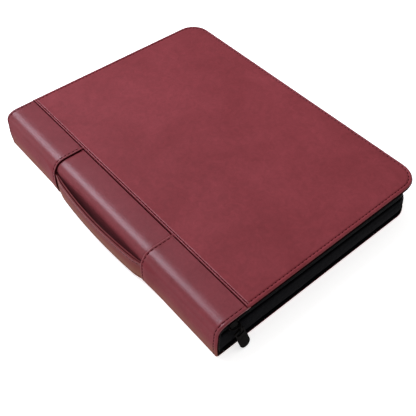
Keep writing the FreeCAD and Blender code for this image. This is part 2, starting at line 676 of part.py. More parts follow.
def rectangle(sketch, low_x, high_x, low_y, high_y):
    """A rectangle in a sketch, with its four sides tied to formulas."""
    corners = [(0, 0), (10, 0), (10, 10), (0, 10)]
    for number in range(4):
        start, stop = corners[number], corners[(number + 1) % 4]
        sketch.addGeometry(Part.LineSegment(FreeCAD.Vector(*start, 0), FreeCAD.Vector(*stop, 0)), False)
    for number in range(4):
        sketch.addConstraint(Sketcher.Constraint("Coincident", number, 2, (number + 1) % 4, 1))
    for line, kind in ((0, "Horizontal"), (2, "Horizontal"), (1, "Vertical"), (3, "Vertical")):
        sketch.addConstraint(Sketcher.Constraint(kind, line))
    ties = (("left", "DistanceX", 0, 1, low_x), ("right", "DistanceX", 0, 2, high_x),
            ("bottom", "DistanceY", 0, 1, low_y), ("top", "DistanceY", 2, 1, high_y))
    for name, kind, line, point, text in ties:
        number = sketch.addConstraint(Sketcher.Constraint(kind, -1, 1, line, point, 5.0))
        sketch.renameConstraint(number, name)
        sketch.setExpression(f"Constraints.{name}", formula(text))


def page(number):
    """One pocket sheet: its slots lie where the ring wire crosses it at this height in the stack."""
    half = "(cover_length / 2 - page_end_room)"
    wide = "cover_width - (ring_x + ring_radius - page_margin) - page_fore_room"
    rise = f"(page_pitch * ({number} - {(PAGES + 1) / 2}))"
    start = f"ring_x + sqrt(ring_radius^2 - {rise}^2) - page_margin"
    body = named("PartDesign::Body", f"coin_page_{number}")
    sheet_sketch = body.newObject("Sketcher::SketchObject", f"page_{number}_outline")
    sheet_sketch.AttachmentSupport = (origin_plane(body, "XY_Plane"), [""])
    sheet_sketch.MapMode = "FlatFace"
    rectangle(sheet_sketch, "0", wide, f"-{half}", half)
    pad = body.newObject("PartDesign::Pad", f"page_{number}_sheet")
    pad.Profile = sheet_sketch
    bind(pad, Length="page_thick")
    slot_sketch = body.newObject("Sketcher::SketchObject", f"page_{number}_slot")
    slot_sketch.AttachmentSupport = (origin_plane(body, "XY_Plane"), [""])
    slot_sketch.MapMode = "FlatFace"
    middle = "page_margin + slot_shift"
    rectangle(slot_sketch, f"{middle} - slot_length / 2", f"{middle} + slot_length / 2",
              f"{RING_PLACES[0]} - slot_width / 2", f"{RING_PLACES[0]} + slot_width / 2")
    pocket = body.newObject("PartDesign::Pocket", f"page_{number}_punch")
    pocket.Profile = slot_sketch
    pocket.Type = "ThroughAll"
    pocket.Reversed = True
    pattern = body.newObject("PartDesign::LinearPattern", f"page_{number}_slots")
    pattern.Originals = [pocket]
    pattern.Direction = (slot_sketch, ["V_Axis"])
    pattern.Occurrences = RINGS
    bind(pattern, Length=f"ring_pitch * {RINGS - 1}")
    body.Tip = pattern
    keep(place(body, start, "0", f"{RING_Z} + {rise} - page_thick / 2"))


front_cover()
spine()
strap()
rivet_holes = back_cover()
gusset()
slider()
puller()
ring_rail(rivet_holes)
rings()
levers()
for page_number in range(1, PAGES + 1):
    page(page_number)
doc.recompute()

for thing in doc.Objects:
    if "Invalid" in thing.State or "Error" in thing.State:
        raise RuntimeError(f"{thing.Label} failed: {thing.State}")
for name, thing in nodes.items():
    if thing.Shape.isNull() or not thing.Shape.isValid():
        raise RuntimeError(f"{name} has no valid shape")

os.makedirs("parts", exist_ok=True)
for name, thing in nodes.items():
    thing.Shape.exportStep(f"parts/{name}.step")
    solids = thing.Shape.Solids
    print(f"{name}: {len(solids)} solid(s), {sum(solid.Volume for solid in solids):.1f} mm3")
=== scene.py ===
"""Looks of the zip-round coin album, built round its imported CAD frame."""
import json
import math
import random

import bmesh
import bpy
import numpy as np
from mathutils import Matrix, Vector, noise


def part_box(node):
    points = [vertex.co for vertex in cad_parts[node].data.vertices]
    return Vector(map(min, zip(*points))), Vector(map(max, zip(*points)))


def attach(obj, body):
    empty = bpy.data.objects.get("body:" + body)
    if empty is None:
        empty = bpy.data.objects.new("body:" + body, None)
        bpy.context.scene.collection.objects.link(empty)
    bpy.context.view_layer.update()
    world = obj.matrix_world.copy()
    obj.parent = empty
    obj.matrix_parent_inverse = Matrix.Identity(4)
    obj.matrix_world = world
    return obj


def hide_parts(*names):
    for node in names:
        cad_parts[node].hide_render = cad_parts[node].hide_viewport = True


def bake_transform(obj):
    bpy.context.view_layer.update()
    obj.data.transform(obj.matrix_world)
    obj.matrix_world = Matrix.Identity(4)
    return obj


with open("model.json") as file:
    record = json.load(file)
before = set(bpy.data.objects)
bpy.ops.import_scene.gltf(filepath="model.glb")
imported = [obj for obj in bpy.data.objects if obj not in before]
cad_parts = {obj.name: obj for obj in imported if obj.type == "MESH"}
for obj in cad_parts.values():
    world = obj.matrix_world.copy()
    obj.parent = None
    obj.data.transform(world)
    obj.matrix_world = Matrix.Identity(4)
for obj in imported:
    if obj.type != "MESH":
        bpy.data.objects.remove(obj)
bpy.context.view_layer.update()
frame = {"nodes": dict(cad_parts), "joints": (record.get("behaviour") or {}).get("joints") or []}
random.seed(7)

MM = 0.001
TAIL, HEAD = -1, 1
ENDS = ((TAIL, "tail"), (HEAD, "head"))


# ---- places from the frame, in mm, with x measured from the outside of the spine ----
SPINE_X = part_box("back_band_head")[0].x


def cad(node):
    """Lowest and highest corner of a CAD node in mm, x from the spine."""
    return [((corner.x - SPINE_X) / MM, corner.y / MM, corner.z / MM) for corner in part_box(node)]


SEAM = cad("front_panel")[0][0]
WIDTH, END, TOP = cad("front_panel")[1]
CEILING = cad("front_lining")[0][2]
FLOOR = cad("back_lining")[1][2]
BAND_TOP = cad("front_band_head")[1][2]
BAND_EDGE = cad("spine_band_head")[0][1]
HIDE = cad("spine_wrap")[0][0]
FOOT_R = 4.0
CORNER_R = 22.0
GUSSET = END - cad("lower_gusset_head")[1][1]
ZIP_SPINE = (cad("upper_zip_stops")[0][2] + cad("lower_zip_stops")[1][2]) / 2
ZIP_FALL = 3.0 / WIDTH
STRAP_LOW, STRAP_HIGH = (corner[2] for corner in cad("strap_grip_face"))
PAGE_COUNT = sum(name.startswith("coin_page") for name in frame["nodes"])


def place(x, y, z):
    """A point given in mm from the spine, in the frame's metres."""
    return Vector((SPINE_X + x * MM, y * MM, z * MM))


def zip_z(x):
    """Height of the zip's middle line, which falls a little towards the fore edge."""
    return ZIP_SPINE - ZIP_FALL * x


# ---- materials ----
def add(tree, kind, inputs, **settings):
    """A new node. Each input is a number, a colour or the output of another node."""
    made = tree.nodes.new(kind)
    for name, value in settings.items():
        setattr(made, name, value)
    for key, source in inputs.items():
        if isinstance(source, bpy.types.NodeSocket):
            tree.links.new(source, made.inputs[key])
        else:
            made.inputs[key].default_value = (*source, 1.0) if isinstance(source, tuple) else source
    return made


def noise_node(tree, coords, scale, detail=3.0, rough=0.55, distortion=0.0):
    inputs = {"Vector": coords, "Scale": scale, "Detail": detail, "Roughness": rough, "Distortion": distortion}
    return add(tree, "ShaderNodeTexNoise", inputs).outputs["Fac"]


def ramp(tree, fac, stops):
    made = add(tree, "ShaderNodeValToRGB", {"Fac": fac})
    elements = made.color_ramp.elements
    while len(elements) < len(stops):
        elements.new(0.5)
    for element, (position, color) in zip(elements, stops):
        element.position = position
        element.color = (*color, 1.0)
    return made.outputs["Color"]


def mixed(tree, kind, first, second, fac=1.0):
    return add(tree, "ShaderNodeMix", {0: fac, 6: first, 7: second}, data_type="RGBA", blend_type=kind).outputs[2]


def bumped(tree, shader, layers):
    """Chains bump nodes: each layer is a height output, a distance in metres and a strength."""
    before = {}
    for height, distance, strength in layers:
        made = add(tree, "ShaderNodeBump", {"Distance": distance, "Strength": strength, "Height": height, **before})
        before = {"Normal": made.outputs["Normal"]}
    tree.links.new(before["Normal"], shader.inputs["Normal"])


def blank_material(name, roughness, specular=0.5):
    material = bpy.data.materials.new(name)
    material.use_nodes = True
    tree = material.node_tree
    shader = tree.nodes["Principled BSDF"]
    shader.inputs["Roughness"].default_value = roughness
    shader.inputs["Specular IOR Level"].default_value = specular
    coords = tree.nodes.new("ShaderNodeTexCoord").outputs["Object"]
    return material, tree, shader, coords


def mapped(tree, value, low, high):
    return add(tree, "ShaderNodeMapRange", {"Value": value, "To Min": low, "To Max": high}).outputs["Result"]


def height_fade(tree, coords, low, high):
    """0 below the height low and 1 above the height high, both in mm over the table."""
    height = add(tree, "ShaderNodeSeparateXYZ", {"Vector": coords}).outputs["Z"]
    inputs = {"Value": height, "From Min": low * MM, "From Max": high * MM}
    return add(tree, "ShaderNodeMapRange", inputs, interpolation_type="SMOOTHSTEP").outputs["Result"]


def leather(name, dark, light, roughness, grain, blotch, specular, foot=None, dull=None):
    """Coated leather: soft blotches, fine streaks and a pebble grain. foot is a warm colour painted low on the piece
    as a painted reflection of warm light bounced up from below, and the heights over which it fades out; dull is a
    rougher finish and the heights over which it turns glossy."""
    material, tree, shader, coords = blank_material(name, roughness, specular)
    cloud = noise_node(tree, coords, blotch, 4.0, 0.6, 0.6)
    color = ramp(tree, cloud, [(0.3, dark), (0.72, light)])
    streak = noise_node(tree, coords, blotch * 9, 5.0, 0.7, 1.5)
    color = mixed(tree, "SOFT_LIGHT", color, ramp(tree, streak, [(0.35, (0.36,) * 3), (0.7, (0.62,) * 3)]), 0.55)
    cells = add(tree, "ShaderNodeTexVoronoi", {"Vector": coords, "Scale": grain, "Randomness": 0.9}, feature="F1")
    pebble = cells.outputs["Distance"]
    color = mixed(tree, "MULTIPLY", color, ramp(tree, pebble, [(0.0, (1.0,) * 3), (0.75, (0.86,) * 3)]), 0.6)
    # painted reflection: below the fade heights the colour turns to the warm foot colour, which stands in for warm
    # light bounced up from below
    if foot:
        color = mixed(tree, "MIX", foot[0], color, height_fade(tree, coords, *foot[1:]))
    tree.links.new(color, shader.inputs["Base Color"])
    finish = mapped(tree, streak, roughness - 0.05, roughness + 0.07)
    if dull:
        inputs = {0: height_fade(tree, coords, *dull[1:]), 2: dull[0], 3: finish}
        finish = add(tree, "ShaderNodeMix", inputs, data_type="FLOAT").outputs[0]
    tree.links.new(finish, shader.inputs["Roughness"])
    swell = noise_node(tree, coords, 60.0, 2.0, 0.5)
    bumped(tree, shader, [(swell, 0.0006, 0.25), (pebble, 0.00012, 0.35),
                          (noise_node(tree, coords, grain * 1.7, 2.0), 0.00008, 0.3)])
    return material


def cloth(name, dark, light, threads, roughness=0.9, specular=0.03):
    """Plain weave: threads across all three axes, so that every face shows a crossed pair, with slubs."""
    material, tree, shader, coords = blank_material(name, roughness, specular)
    weave = None
    for direction in ("X", "Y", "Z"):
        wave = add(tree, "ShaderNodeTexWave", {"Vector": coords, "Scale": threads, "Distortion": 0.6, "Detail": 1.0},
                   wave_type="BANDS", bands_direction=direction).outputs["Color"]
        weave = wave if weave is None else mixed(tree, "ADD", weave, wave, 0.5)
    slub = noise_node(tree, coords, 420.0, 3.0, 0.6)
    color = ramp(tree, slub, [(0.3, dark), (0.75, light)])
    color = mixed(tree, "MULTIPLY", color, ramp(tree, weave, [(0.0, (0.55,) * 3), (1.0, (1.0,) * 3)]), 0.7)
    tree.links.new(color, shader.inputs["Base Color"])
    bumped(tree, shader, [(weave, 0.0002, 0.5), (slub, 0.0003, 0.25)])
    return material


def metal(name, color, roughness, metallic=1.0, specular=0.5):
    material, tree, shader, coords = blank_material(name, roughness, specular)
    shader.inputs["Metallic"].default_value = metallic
    rub = noise_node(tree, coords, 900.0, 3.0, 0.6)
    darker = tuple(channel * 0.8 for channel in color)
    tree.links.new(ramp(tree, rub, [(0.3, darker), (0.7, color)]), shader.inputs["Base Color"])
    tree.links.new(mapped(tree, rub, roughness * 0.8, roughness * 1.25), shader.inputs["Roughness"])
    bumped(tree, shader, [(rub, 0.00005, 0.25)])
    return material


def speckled(name, dark, light, scale, roughness, specular=0.3):
    """Board, foam, thread, the near-black painted shade laid in gaps, nylon and page edges: a speckle in two tones."""
    material, tree, shader, coords = blank_material(name, roughness, specular)
    fibre = noise_node(tree, coords, scale, 5.0, 0.7, 0.8)
    tree.links.new(ramp(tree, fibre, [(0.35, dark), (0.7, light)]), shader.inputs["Base Color"])
    bumped(tree, shader, [(fibre, 0.0002, 0.4)])
    return material


def film(name, color, alpha, roughness):
    """Clear pocket film with a faint haze."""
    material, tree, shader, coords = blank_material(name, roughness, 0.5)
    haze = noise_node(tree, coords, 55.0, 3.0, 0.6)
    lighter = tuple(min(1.0, channel * 1.08) for channel in color)
    tree.links.new(ramp(tree, haze, [(0.3, color), (0.7, lighter)]), shader.inputs["Base Color"])
    shader.inputs["Alpha"].default_value = alpha
    bumped(tree, shader, [(haze, 0.0004, 0.2)])
    return material


MATTE_RED = leather("matte_red_leather", (0.176, 0.0205, 0.0265), (0.224, 0.0315, 0.04), 0.6, 1500.0, 15.0, 0.22)
# The warm foot colour of the satin leather is a painted reflection of warm light bounced up from below, fading out
# from the table to 26 mm.
SATIN_RED = leather("satin_red_leather", (0.154, 0.0155, 0.022), (0.184, 0.022, 0.0305), 0.33, 1900.0, 22.0, 0.35,
                    foot=((0.17, 0.05, 0.028), 0.0, 26.0), dull=(0.97, 34.5, 43.0))
# The strap's warm foot colour is the same painted reflection, fading out from 6 to 30 mm.
STRAP_RED = leather("strap_red_leather", (0.145, 0.018, 0.02), (0.17, 0.025, 0.027), 0.5, 1900.0, 22.0, 0.22,
                    foot=((0.18, 0.066, 0.038), 6.0, 30.0), dull=(0.92, 22.0, 31.0))
# Glossier leather on thin tubes along the folded edges; its lighter colour is a painted highlight of those edges.
PAINTED_HIGHLIGHT = leather("painted_fold_highlight", (0.3, 0.08, 0.092), (0.35, 0.105, 0.118), 0.34, 1900.0, 22.0, 0.45)
THREAD_RED = speckled("wine_thread", (0.022, 0.0012, 0.003), (0.048, 0.003, 0.006), 2600.0, 0.8, 0.03)
# Near-black tubes laid in the grooves, under the folded edges and along the rims: painted shade of those gaps and of
# the rims' shaded sides.
GAP_SHADE_RED = speckled("painted_gap_shade", (0.01, 0.0006, 0.001), (0.022, 0.0012, 0.002), 900.0, 0.8, 0.02)
BLACK_WEAVE = cloth("black_gusset_weave", (0.0035, 0.0034, 0.0042), (0.008, 0.0078, 0.0092), 520.0)
BLACK_TAPE = cloth("black_zip_tape", (0.001, 0.001, 0.0013), (0.0026, 0.0026, 0.0032), 900.0, 0.95, 0.0)
BLACK_BIND = cloth("black_binding_rib", (0.001, 0.001, 0.0012), (0.0026, 0.0026, 0.003), 700.0, 0.95, 0.0)
BLACK_LINING = cloth("black_lining_cloth", (0.006, 0.006, 0.007), (0.02, 0.02, 0.022), 620.0, 0.7, 0.15)
BLACK_THREAD = speckled("black_thread", (0.004, 0.004, 0.004), (0.012, 0.012, 0.013), 2600.0, 0.8, 0.05)
COIL = speckled("black_nylon_coil", (0.0018, 0.0018, 0.0022), (0.005, 0.005, 0.0056), 1500.0, 0.55, 0.04)
GUNMETAL = metal("black_lacquered_metal", (0.0042, 0.0033, 0.0028), 0.55, 0.0, 0.02)
NICKEL = metal("bright_nickel", (0.62, 0.62, 0.63), 0.16)
BOARD = speckled("grey_board", (0.2, 0.17, 0.13), (0.34, 0.3, 0.24), 700.0, 0.9)
FOAM = speckled("white_foam", (0.62, 0.62, 0.6), (0.78, 0.78, 0.75), 1600.0, 0.95)
FILM = film("pocket_film", (0.8, 0.84, 0.87), 0.32, 0.14)
WELD = film("welded_seam", (0.86, 0.88, 0.9), 0.75, 0.3)
WHITE_EDGE = speckled("white_page_edge", (0.72, 0.72, 0.7), (0.82, 0.82, 0.8), 300.0, 0.45)


# ---- mesh building ----
def edit_mesh(mesh, change):
    """Hands a mesh to change as a bmesh and writes it back."""
    work = bmesh.new()
    work.from_mesh(mesh)
    change(work)
    work.to_mesh(mesh)
    work.free()


def face_outwards(work):
    bmesh.ops.recalc_face_normals(work, faces=work.faces)


def mesh_piece(name, points, faces, material, smooth=True):
    """points in mm, x from the spine."""
    mesh = bpy.data.meshes.new(name)
    mesh.from_pydata([place(*point) for point in points], [], faces)
    mesh.validate()
    made = bpy.data.objects.new(name, mesh)
    bpy.context.scene.collection.objects.link(made)
    edit_mesh(mesh, face_outwards)
    for polygon in mesh.polygons:
        polygon.use_smooth = smooth
    mesh.materials.append(material)
    return made


def lattice_faces(rows, columns, wrap_rows=False, wrap_columns=False):
    """Quads between rows of points."""
    faces = []
    for row in range(rows if wrap_rows else rows - 1):
        for column in range(columns if wrap_columns else columns - 1):
            after, beside = (row + 1) % rows, (column + 1) % columns
            faces.append((row * columns + column, row * columns + beside,
                          after * columns + beside, after * columns + column))
    return faces


def capped_faces(rows, columns, base=0):
    """Faces of closed sections joined in a row, with both ends shut. base is their first point's number."""
    last = base + (rows - 1) * columns
    return ([tuple(base + corner for corner in face) for face in lattice_faces(rows, columns, False, True)]
            + [tuple(range(base, base + columns)), tuple(reversed(range(last, last + columns)))])


def directions(start, stop, count):
    """Cosine and sine of angles in degrees."""
    return [(math.cos(math.radians(turn)), math.sin(math.radians(turn))) for turn in np.linspace(start, stop, count)]


def arc(cx, cy, radius, start, stop, count):
    return [(cx + radius * c, cy + radius * s) for c, s in directions(start, stop, count)]


def swept(name, rows, material, loop=False):
    """A closed section carried along a path: rows[i][j] is point j of the section at station i."""
    count, size = len(rows), len(rows[0])
    faces = lattice_faces(count, size, True, True) if loop else capped_faces(count, size)
    made = mesh_piece(name, [point for row in rows for point in row], faces, material)

    def sharpen_ends(work):
        for face in work.faces:
            if len(face.verts) == size and size > 4:
                face.smooth = False
                for edge in face.edges:
                    edge.smooth = False

    if not loop:
        edit_mesh(made.data, sharpen_ends)
    return made


def tube(name, path, radius, material, loop=False, sides=8):
    """A round wire along points in mm."""
    points = [Vector(point) for point in path]
    rows = []
    side = None
    for number, point in enumerate(points):
        if loop:
            along = points[(number + 1) % len(points)] - points[number - 1]
        else:
            along = points[min(number + 1, len(points) - 1)] - points[max(number - 1, 0)]
        along.normalize()
        if side is None:
            side = along.orthogonal().normalized()
        side = (side - along * side.dot(along)).normalized()
        up = along.cross(side)
        rows.append([tuple(point + radius * (math.cos(turn) * side + math.sin(turn) * up))
                     for turn in (2 * math.pi * step / sides for step in range(sides))])
    return swept(name, rows, material, loop)


WELD_DISTANCE = 0.00001


def flat_shape(name, outline, holes, thickness, bevel, material, matrix):
    """A bevelled plate cut to an outline with holes, laid out in mm and put in place by a matrix."""
    curve = bpy.data.curves.new(name + "_curve", "CURVE")
    curve.dimensions = "2D"
    curve.fill_mode = "BOTH"
    curve.extrude = thickness / 2 - bevel
    curve.bevel_depth = bevel
    curve.bevel_resolution = 2
    curve.offset = -bevel
    for ring in [outline] + holes:
        spline = curve.splines.new("POLY")
        spline.points.add(len(ring) - 1)
        for point, (x, y) in zip(spline.points, ring):
            point.co = (x, y, 0, 1)
        spline.use_cyclic_u = True
    holder = bpy.data.objects.new(name + "_curve", curve)
    bpy.context.scene.collection.objects.link(holder)
    bpy.context.view_layer.update()
    shape = bpy.data.meshes.new_from_object(holder.evaluated_get(bpy.context.evaluated_depsgraph_get()))
    bpy.data.objects.remove(holder)
    points = [tuple(matrix @ vertex.co) for vertex in shape.vertices]
    faces = [tuple(polygon.vertices) for polygon in shape.polygons]
    bpy.data.meshes.remove(shape)
    made = mesh_piece(name, points, faces, material, False)

    def weld(work):
        bmesh.ops.remove_doubles(work, verts=work.verts, dist=WELD_DISTANCE)
        face_outwards(work)

    edit_mesh(made.data, weld)
    return made


# Rings of one stitch: share of its length from the middle, share of its radius, and rise in radii.
STITCH_RINGS = ((-0.5, 0.3, -0.7), (-0.42, 0.85, -0.2), (-0.2, 1.0, 0.15), (0.2, 1.0, 0.15),
                (0.42, 0.85, -0.2), (0.5, 0.3, -0.7))
STITCH_SIDES = 6


def stitches(name, path, normals, material, pitch=4.6, length=3.1, radius=0.36, start=1.5):
    """A row of sewn stitches along a path of points in mm, each dipping into the leather."""
    points = np.array(path, float)
    ups = np.array(normals, float)
    steps = np.linalg.norm(np.diff(points, axis=0), axis=1)
    run = np.concatenate([[0.0], np.cumsum(steps)])
    verts, faces = [], []
    centre = start + length / 2
    while centre < run[-1] - length / 2:
        faces += capped_faces(len(STITCH_RINGS), STITCH_SIDES, len(verts))
        ends = [np.array([np.interp(centre + share * length, run, points[:, axis]) for axis in range(3)])
                for share in (-0.5, 0.5)]
        along = (ends[1] - ends[0]) / np.linalg.norm(ends[1] - ends[0])
        up = np.array([np.interp(centre, run, ups[:, axis]) for axis in range(3)])
        up = up - along * up.dot(along)
        up /= np.linalg.norm(up)
        across = np.cross(along, up)
        wobble = random.uniform(-0.08, 0.08)
        for share, scale, lift in STITCH_RINGS:
            middle = [np.interp(centre + share * length, run, points[:, axis]) for axis in range(3)]
            middle = np.array(middle) + up * radius * lift + across * wobble * share
            for step in range(STITCH_SIDES):
                turn = 2 * math.pi * step / STITCH_SIDES
                verts.append(tuple(middle + radius * scale * (math.cos(turn) * across + math.sin(turn) * up)))
        centre += pitch
    return mesh_piece(name, verts, faces, material)


def tagged(piece, nodes):
    if nodes:
        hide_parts(*nodes)
    return piece


def on(piece, body, slot_name, *nodes):
    """A piece that rides on one body."""
    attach(piece, body)
    return tagged(piece, nodes)


def flexes(piece, where, slot_name, *nodes):
    """A piece that crosses a fold: its place is baked into its mesh and any CAD nodes it stands for are hidden."""
    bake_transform(piece)
    return tagged(piece, nodes)


def smooth_step(value, low, high):
    share = min(1.0, max(0.0, (value - low) / (high - low)))
    return share * share * (3 - 2 * share)


# ---- the spine's profile ----
# BARREL is how far the wall swells out at mid height. The runs are how far the leather reaches over and under.
BARREL = 0.7
TOP_RUN = 40.0
BOTTOM_RUN = SEAM
SHOULDER = 16.0
SHOULDER_DROP = 12.5
SHOULDER_POWER = 2.6
SPLIT_Z = 7.0
MIN_BEND = 0.3


def profile(part, depth):
    """Points (x, z) and outward normals of the leather at a depth below the outside of the bands.
    part is shoulder (from the front panel down the spine) or foot (from there to the back)."""
    stations = []
    wall_top = BAND_TOP - SHOULDER_DROP

    def wall(z):
        middle, half = (wall_top + FOOT_R) / 2, (wall_top - FOOT_R) / 2
        away = (z - middle) / half
        swell = BARREL * (1 - away ** 2) ** 2
        slope = -4 * BARREL * away * (1 - away ** 2) / half
        length = math.hypot(1.0, slope)
        stations.append((-swell + depth / length, z + depth * slope / length, -1.0 / length, -slope / length))

    if part == "shoulder":
        for x in np.linspace(TOP_RUN, SHOULDER, 12)[:-1]:
            stations.append((x, BAND_TOP - depth, 0.0, 1.0))
        for c, s in directions(0, 90, 25):
            across, up = s ** (2 / SHOULDER_POWER), max(0.0, c) ** (2 / SHOULDER_POWER)
            nx = -across ** (SHOULDER_POWER - 1) / SHOULDER
            nz = up ** (SHOULDER_POWER - 1) / SHOULDER_DROP
            length = math.hypot(nx, nz)
            nx, nz = nx / length, nz / length
            stations.append((SHOULDER * (1 - across) - depth * nx, wall_top + SHOULDER_DROP * up - depth * nz, nx, nz))
        for z in np.linspace(wall_top, SPLIT_Z, 14)[1:]:
            wall(z)
    else:
        for z in np.linspace(SPLIT_Z, FOOT_R, 5):
            wall(z)
        centre = max(FOOT_R, depth + MIN_BEND)
        for c, s in directions(180, 270, 11)[1:]:
            stations.append((centre + (centre - depth) * c, centre + (centre - depth) * s, c, s))
        for x in np.linspace(centre, BOTTOM_RUN, 9)[1:]:
            stations.append((x, depth, 0.0, -1.0))
    return stations


STRAP_MIDDLE = (STRAP_LOW + STRAP_HIGH) / 2
TUCK_SWELL = 2.1


def strap_swell(across, z, lean):
    """How far a band stands out where the strap's end is tucked under it."""
    fade = math.exp(-(max(0.0, across - BAND_EDGE - 4.0) / 13.0) ** 2)
    tall = smooth_step(z, 1.0, STRAP_LOW + 3) * (1 - smooth_step(z, STRAP_HIGH - 1, STRAP_HIGH + 8))
    return TUCK_SWELL * fade * tall * max(0.0, -lean)


def leather_sheet(name, part, side, section, material, swell=False):
    """Carries a section of (distance from the middle, depth) points along the spine's profile."""
    columns = [profile(part, depth) for _, depth in section]
    rows = []
    for station in range(len(columns[0])):
        row = []
        for (across, depth), column in zip(section, columns):
            x, z, nx, nz = column[station]
            if swell and depth < HIDE * 0.95:
                out = strap_swell(across, z, nx)
                x, z = x + nx * out, z + nz * out
            row.append((x, side * across, z))
        rows.append(row)
    return swept(name, rows, material)


# The bands' folded edges aren't alike: the tail one sits nearer to the middle, the head one further from it.
# EDGE_GAP is the width of the dark gap beside each edge, painted as shade by a near-black tube.
EDGE_SHIFT = {TAIL: -1.8, HEAD: 1.0}
EDGE_GAP = {TAIL: 0.1, HEAD: 0.9}
BAND_FOLD = ((72.0, 1.05), (71.75, 0.62), (71.8, 0.2), (72.1, -0.14), (72.7, -0.3), (73.3, -0.2), (73.8, 0.08),
             (74.1, 0.28), (74.4, 0.28), (74.8, 0.06), (75.8, -0.06), (77.5, -0.03))
BAND_REST = (
    [(float(across), 0.0) for across in (79, 81, 84, 87, 90, 94, 98, 104, 112, 122, 134, 146, 156, 162, 165)]
    + [(165.9, -0.05), (166.3, 0.08), (166.6, 0.36), (166.9, 0.36), (167.2, 0.05), (167.7, -0.16), (168.4, -0.2),
       (169.1, -0.02), (169.7, 0.4), (170.0, 1.0), (170.0, 1.8), (169.8, 2.4), (169.3, 2.7), (168.7, 2.5),
       (168.4, 1.9), (168.2, 1.2), (160.0, 1.0), (120.0, 1.0), (90.0, 1.0)]
)


def band_section(side):
    return [(across + EDGE_SHIFT[side], depth) for across, depth in BAND_FOLD] + BAND_REST


WRAP_HALF = ([(float(a), 1.0) for a in range(0, 67, 6)] + [(69.0, 1.05), (71.0, 1.3), (73.5, 1.5), (80.0, 1.5)])
WRAP_SECTION = ([(-a, d) for a, d in reversed(WRAP_HALF[1:])] + WRAP_HALF
                + [(a, 2.0) for a in (80.0, 50.0, 20.0, -20.0, -50.0, -80.0)])


def line_on_spine(part, side, across, depth, stop=SEAM - 1.0):
    """Points and normals of a line that follows the spine's profile."""
    points, normals = [], []
    for x, z, nx, nz in profile(part, depth):
        out = strap_swell(across, z, nx)
        if x + nx * out < stop:
            points.append((x + nx * out, side * across, z + nz * out))
            normals.append((nx, 0.0, nz))
    return points, normals


# Distances from the middle of the rim's sewn row, its lower lip and the piping; then the binding's section.
RIM_ROW, RIM_LIP, PIPING_ROW = 166.75, 169.65, 169.2
WELT_SECTION = ((168.7, 2.5), (169.4, 2.7), (169.6, 3.2), (169.3, 3.9), (168.6, 4.3), (167.6, 4.4), (166.8, 4.0),
                (166.8, 3.0), (167.6, 2.5))


def spine_leather():
    for part, nodes in (("shoulder", ("front_wrap", "spine_wrap")), ("foot", ("back_wrap",))):
        flexes(leather_sheet(f"wrap_{part}", part, HEAD, WRAP_SECTION, SATIN_RED), part, "wrap_leather", *nodes)
        for side, end in ENDS:
            band = leather_sheet(f"band_{part}_{end}", part, side, band_section(side), SATIN_RED, True)
            cads = {"shoulder": (f"front_band_{end}", f"spine_band_{end}"), "foot": (f"back_band_{end}",)}
            flexes(band, part, "wrap_leather", *cads[part])
            edge = BAND_EDGE + EDGE_SHIFT[side]
            for row, across in (("edge", edge + 2.25), ("rim", RIM_ROW)):
                points, normals = line_on_spine(part, side, across, 0.2)
                flexes(stitches(f"stitches_{row}_{part}_{end}", points, normals, THREAD_RED), part, "wrap_leather")
            gap = EDGE_GAP[side] / 2
            # The crest tube is a painted highlight along the folded edge; the two near-black tubes paint the shade in
            # the gap beside the fold and on the rim's side.
            for name, across, depth, radius, material in (
                    ("fold_crest", edge + 0.62, -0.06, 0.26, PAINTED_HIGHLIGHT),
                    ("fold_gap_shade", edge - gap, 0.95, 0.45 + gap, GAP_SHADE_RED),
                    ("rim_side_shade", RIM_LIP, 2.0, 0.66, GAP_SHADE_RED)):
                line = line_on_spine(part, side, across, depth)[0]
                flexes(tube(f"{name}_{part}_{end}", line, radius, material), part, "wrap_leather")
            binding = leather_sheet(f"binding_{part}_{end}", part, side, WELT_SECTION, BLACK_BIND)
            flexes(binding, part, "gusset_cloth", *((f"spine_binding_{end}",) if part == "shoulder" else ()))
            piping = line_on_spine(part, side, PIPING_ROW, 4.7)[0]
            flexes(tube(f"piping_{part}_{end}", piping, 0.35, BLACK_THREAD), part, "gusset_cloth")


# ---- cover panels ----
def outline(inset, seam_inset, step=2.5):
    """A ring round a panel at an inset from its three free edges and another from its seam edge."""
    radius = max(CORNER_R - inset, 0.4)
    cx, cy = WIDTH - inset - radius, END - inset - radius
    ring = []
    count = int((WIDTH - CORNER_R - SEAM) / step)
    for share in np.linspace(0, 1, count, endpoint=False):
        ring.append((SEAM + seam_inset + share * (cx - SEAM - seam_inset), -(END - inset)))
    ring += arc(cx, -cy, radius, -90, 0, 13)
    along = int((END - CORNER_R) * 2 / step)
    for share in np.linspace(0, 1, along, endpoint=False)[1:]:
        ring.append((WIDTH - inset, -cy + share * 2 * cy))
    ring += arc(cx, cy, radius, 0, 90, 13)
    for share in np.linspace(0, 1, count, endpoint=False)[1:]:
        ring.append((cx - share * (cx - SEAM - seam_inset), END - inset))
    side = int(END * 2 / step)
    for share in np.linspace(0, 1, side, endpoint=False):
        ring.append((SEAM + seam_inset, (END - inset) * (1 - 2 * share)))
    return ring


def free_edges(inset, seam_inset, start):
    """The part of a panel's outline along its three free edges, from a distance past the seam."""
    ring = outline(inset, seam_inset)
    last = next(i for i, (x, _) in enumerate(ring) if i > len(ring) // 2 and x - SEAM - seam_inset < TINY)
    return [(x, y) for x, y in ring[:last + 1] if x > SEAM + start]


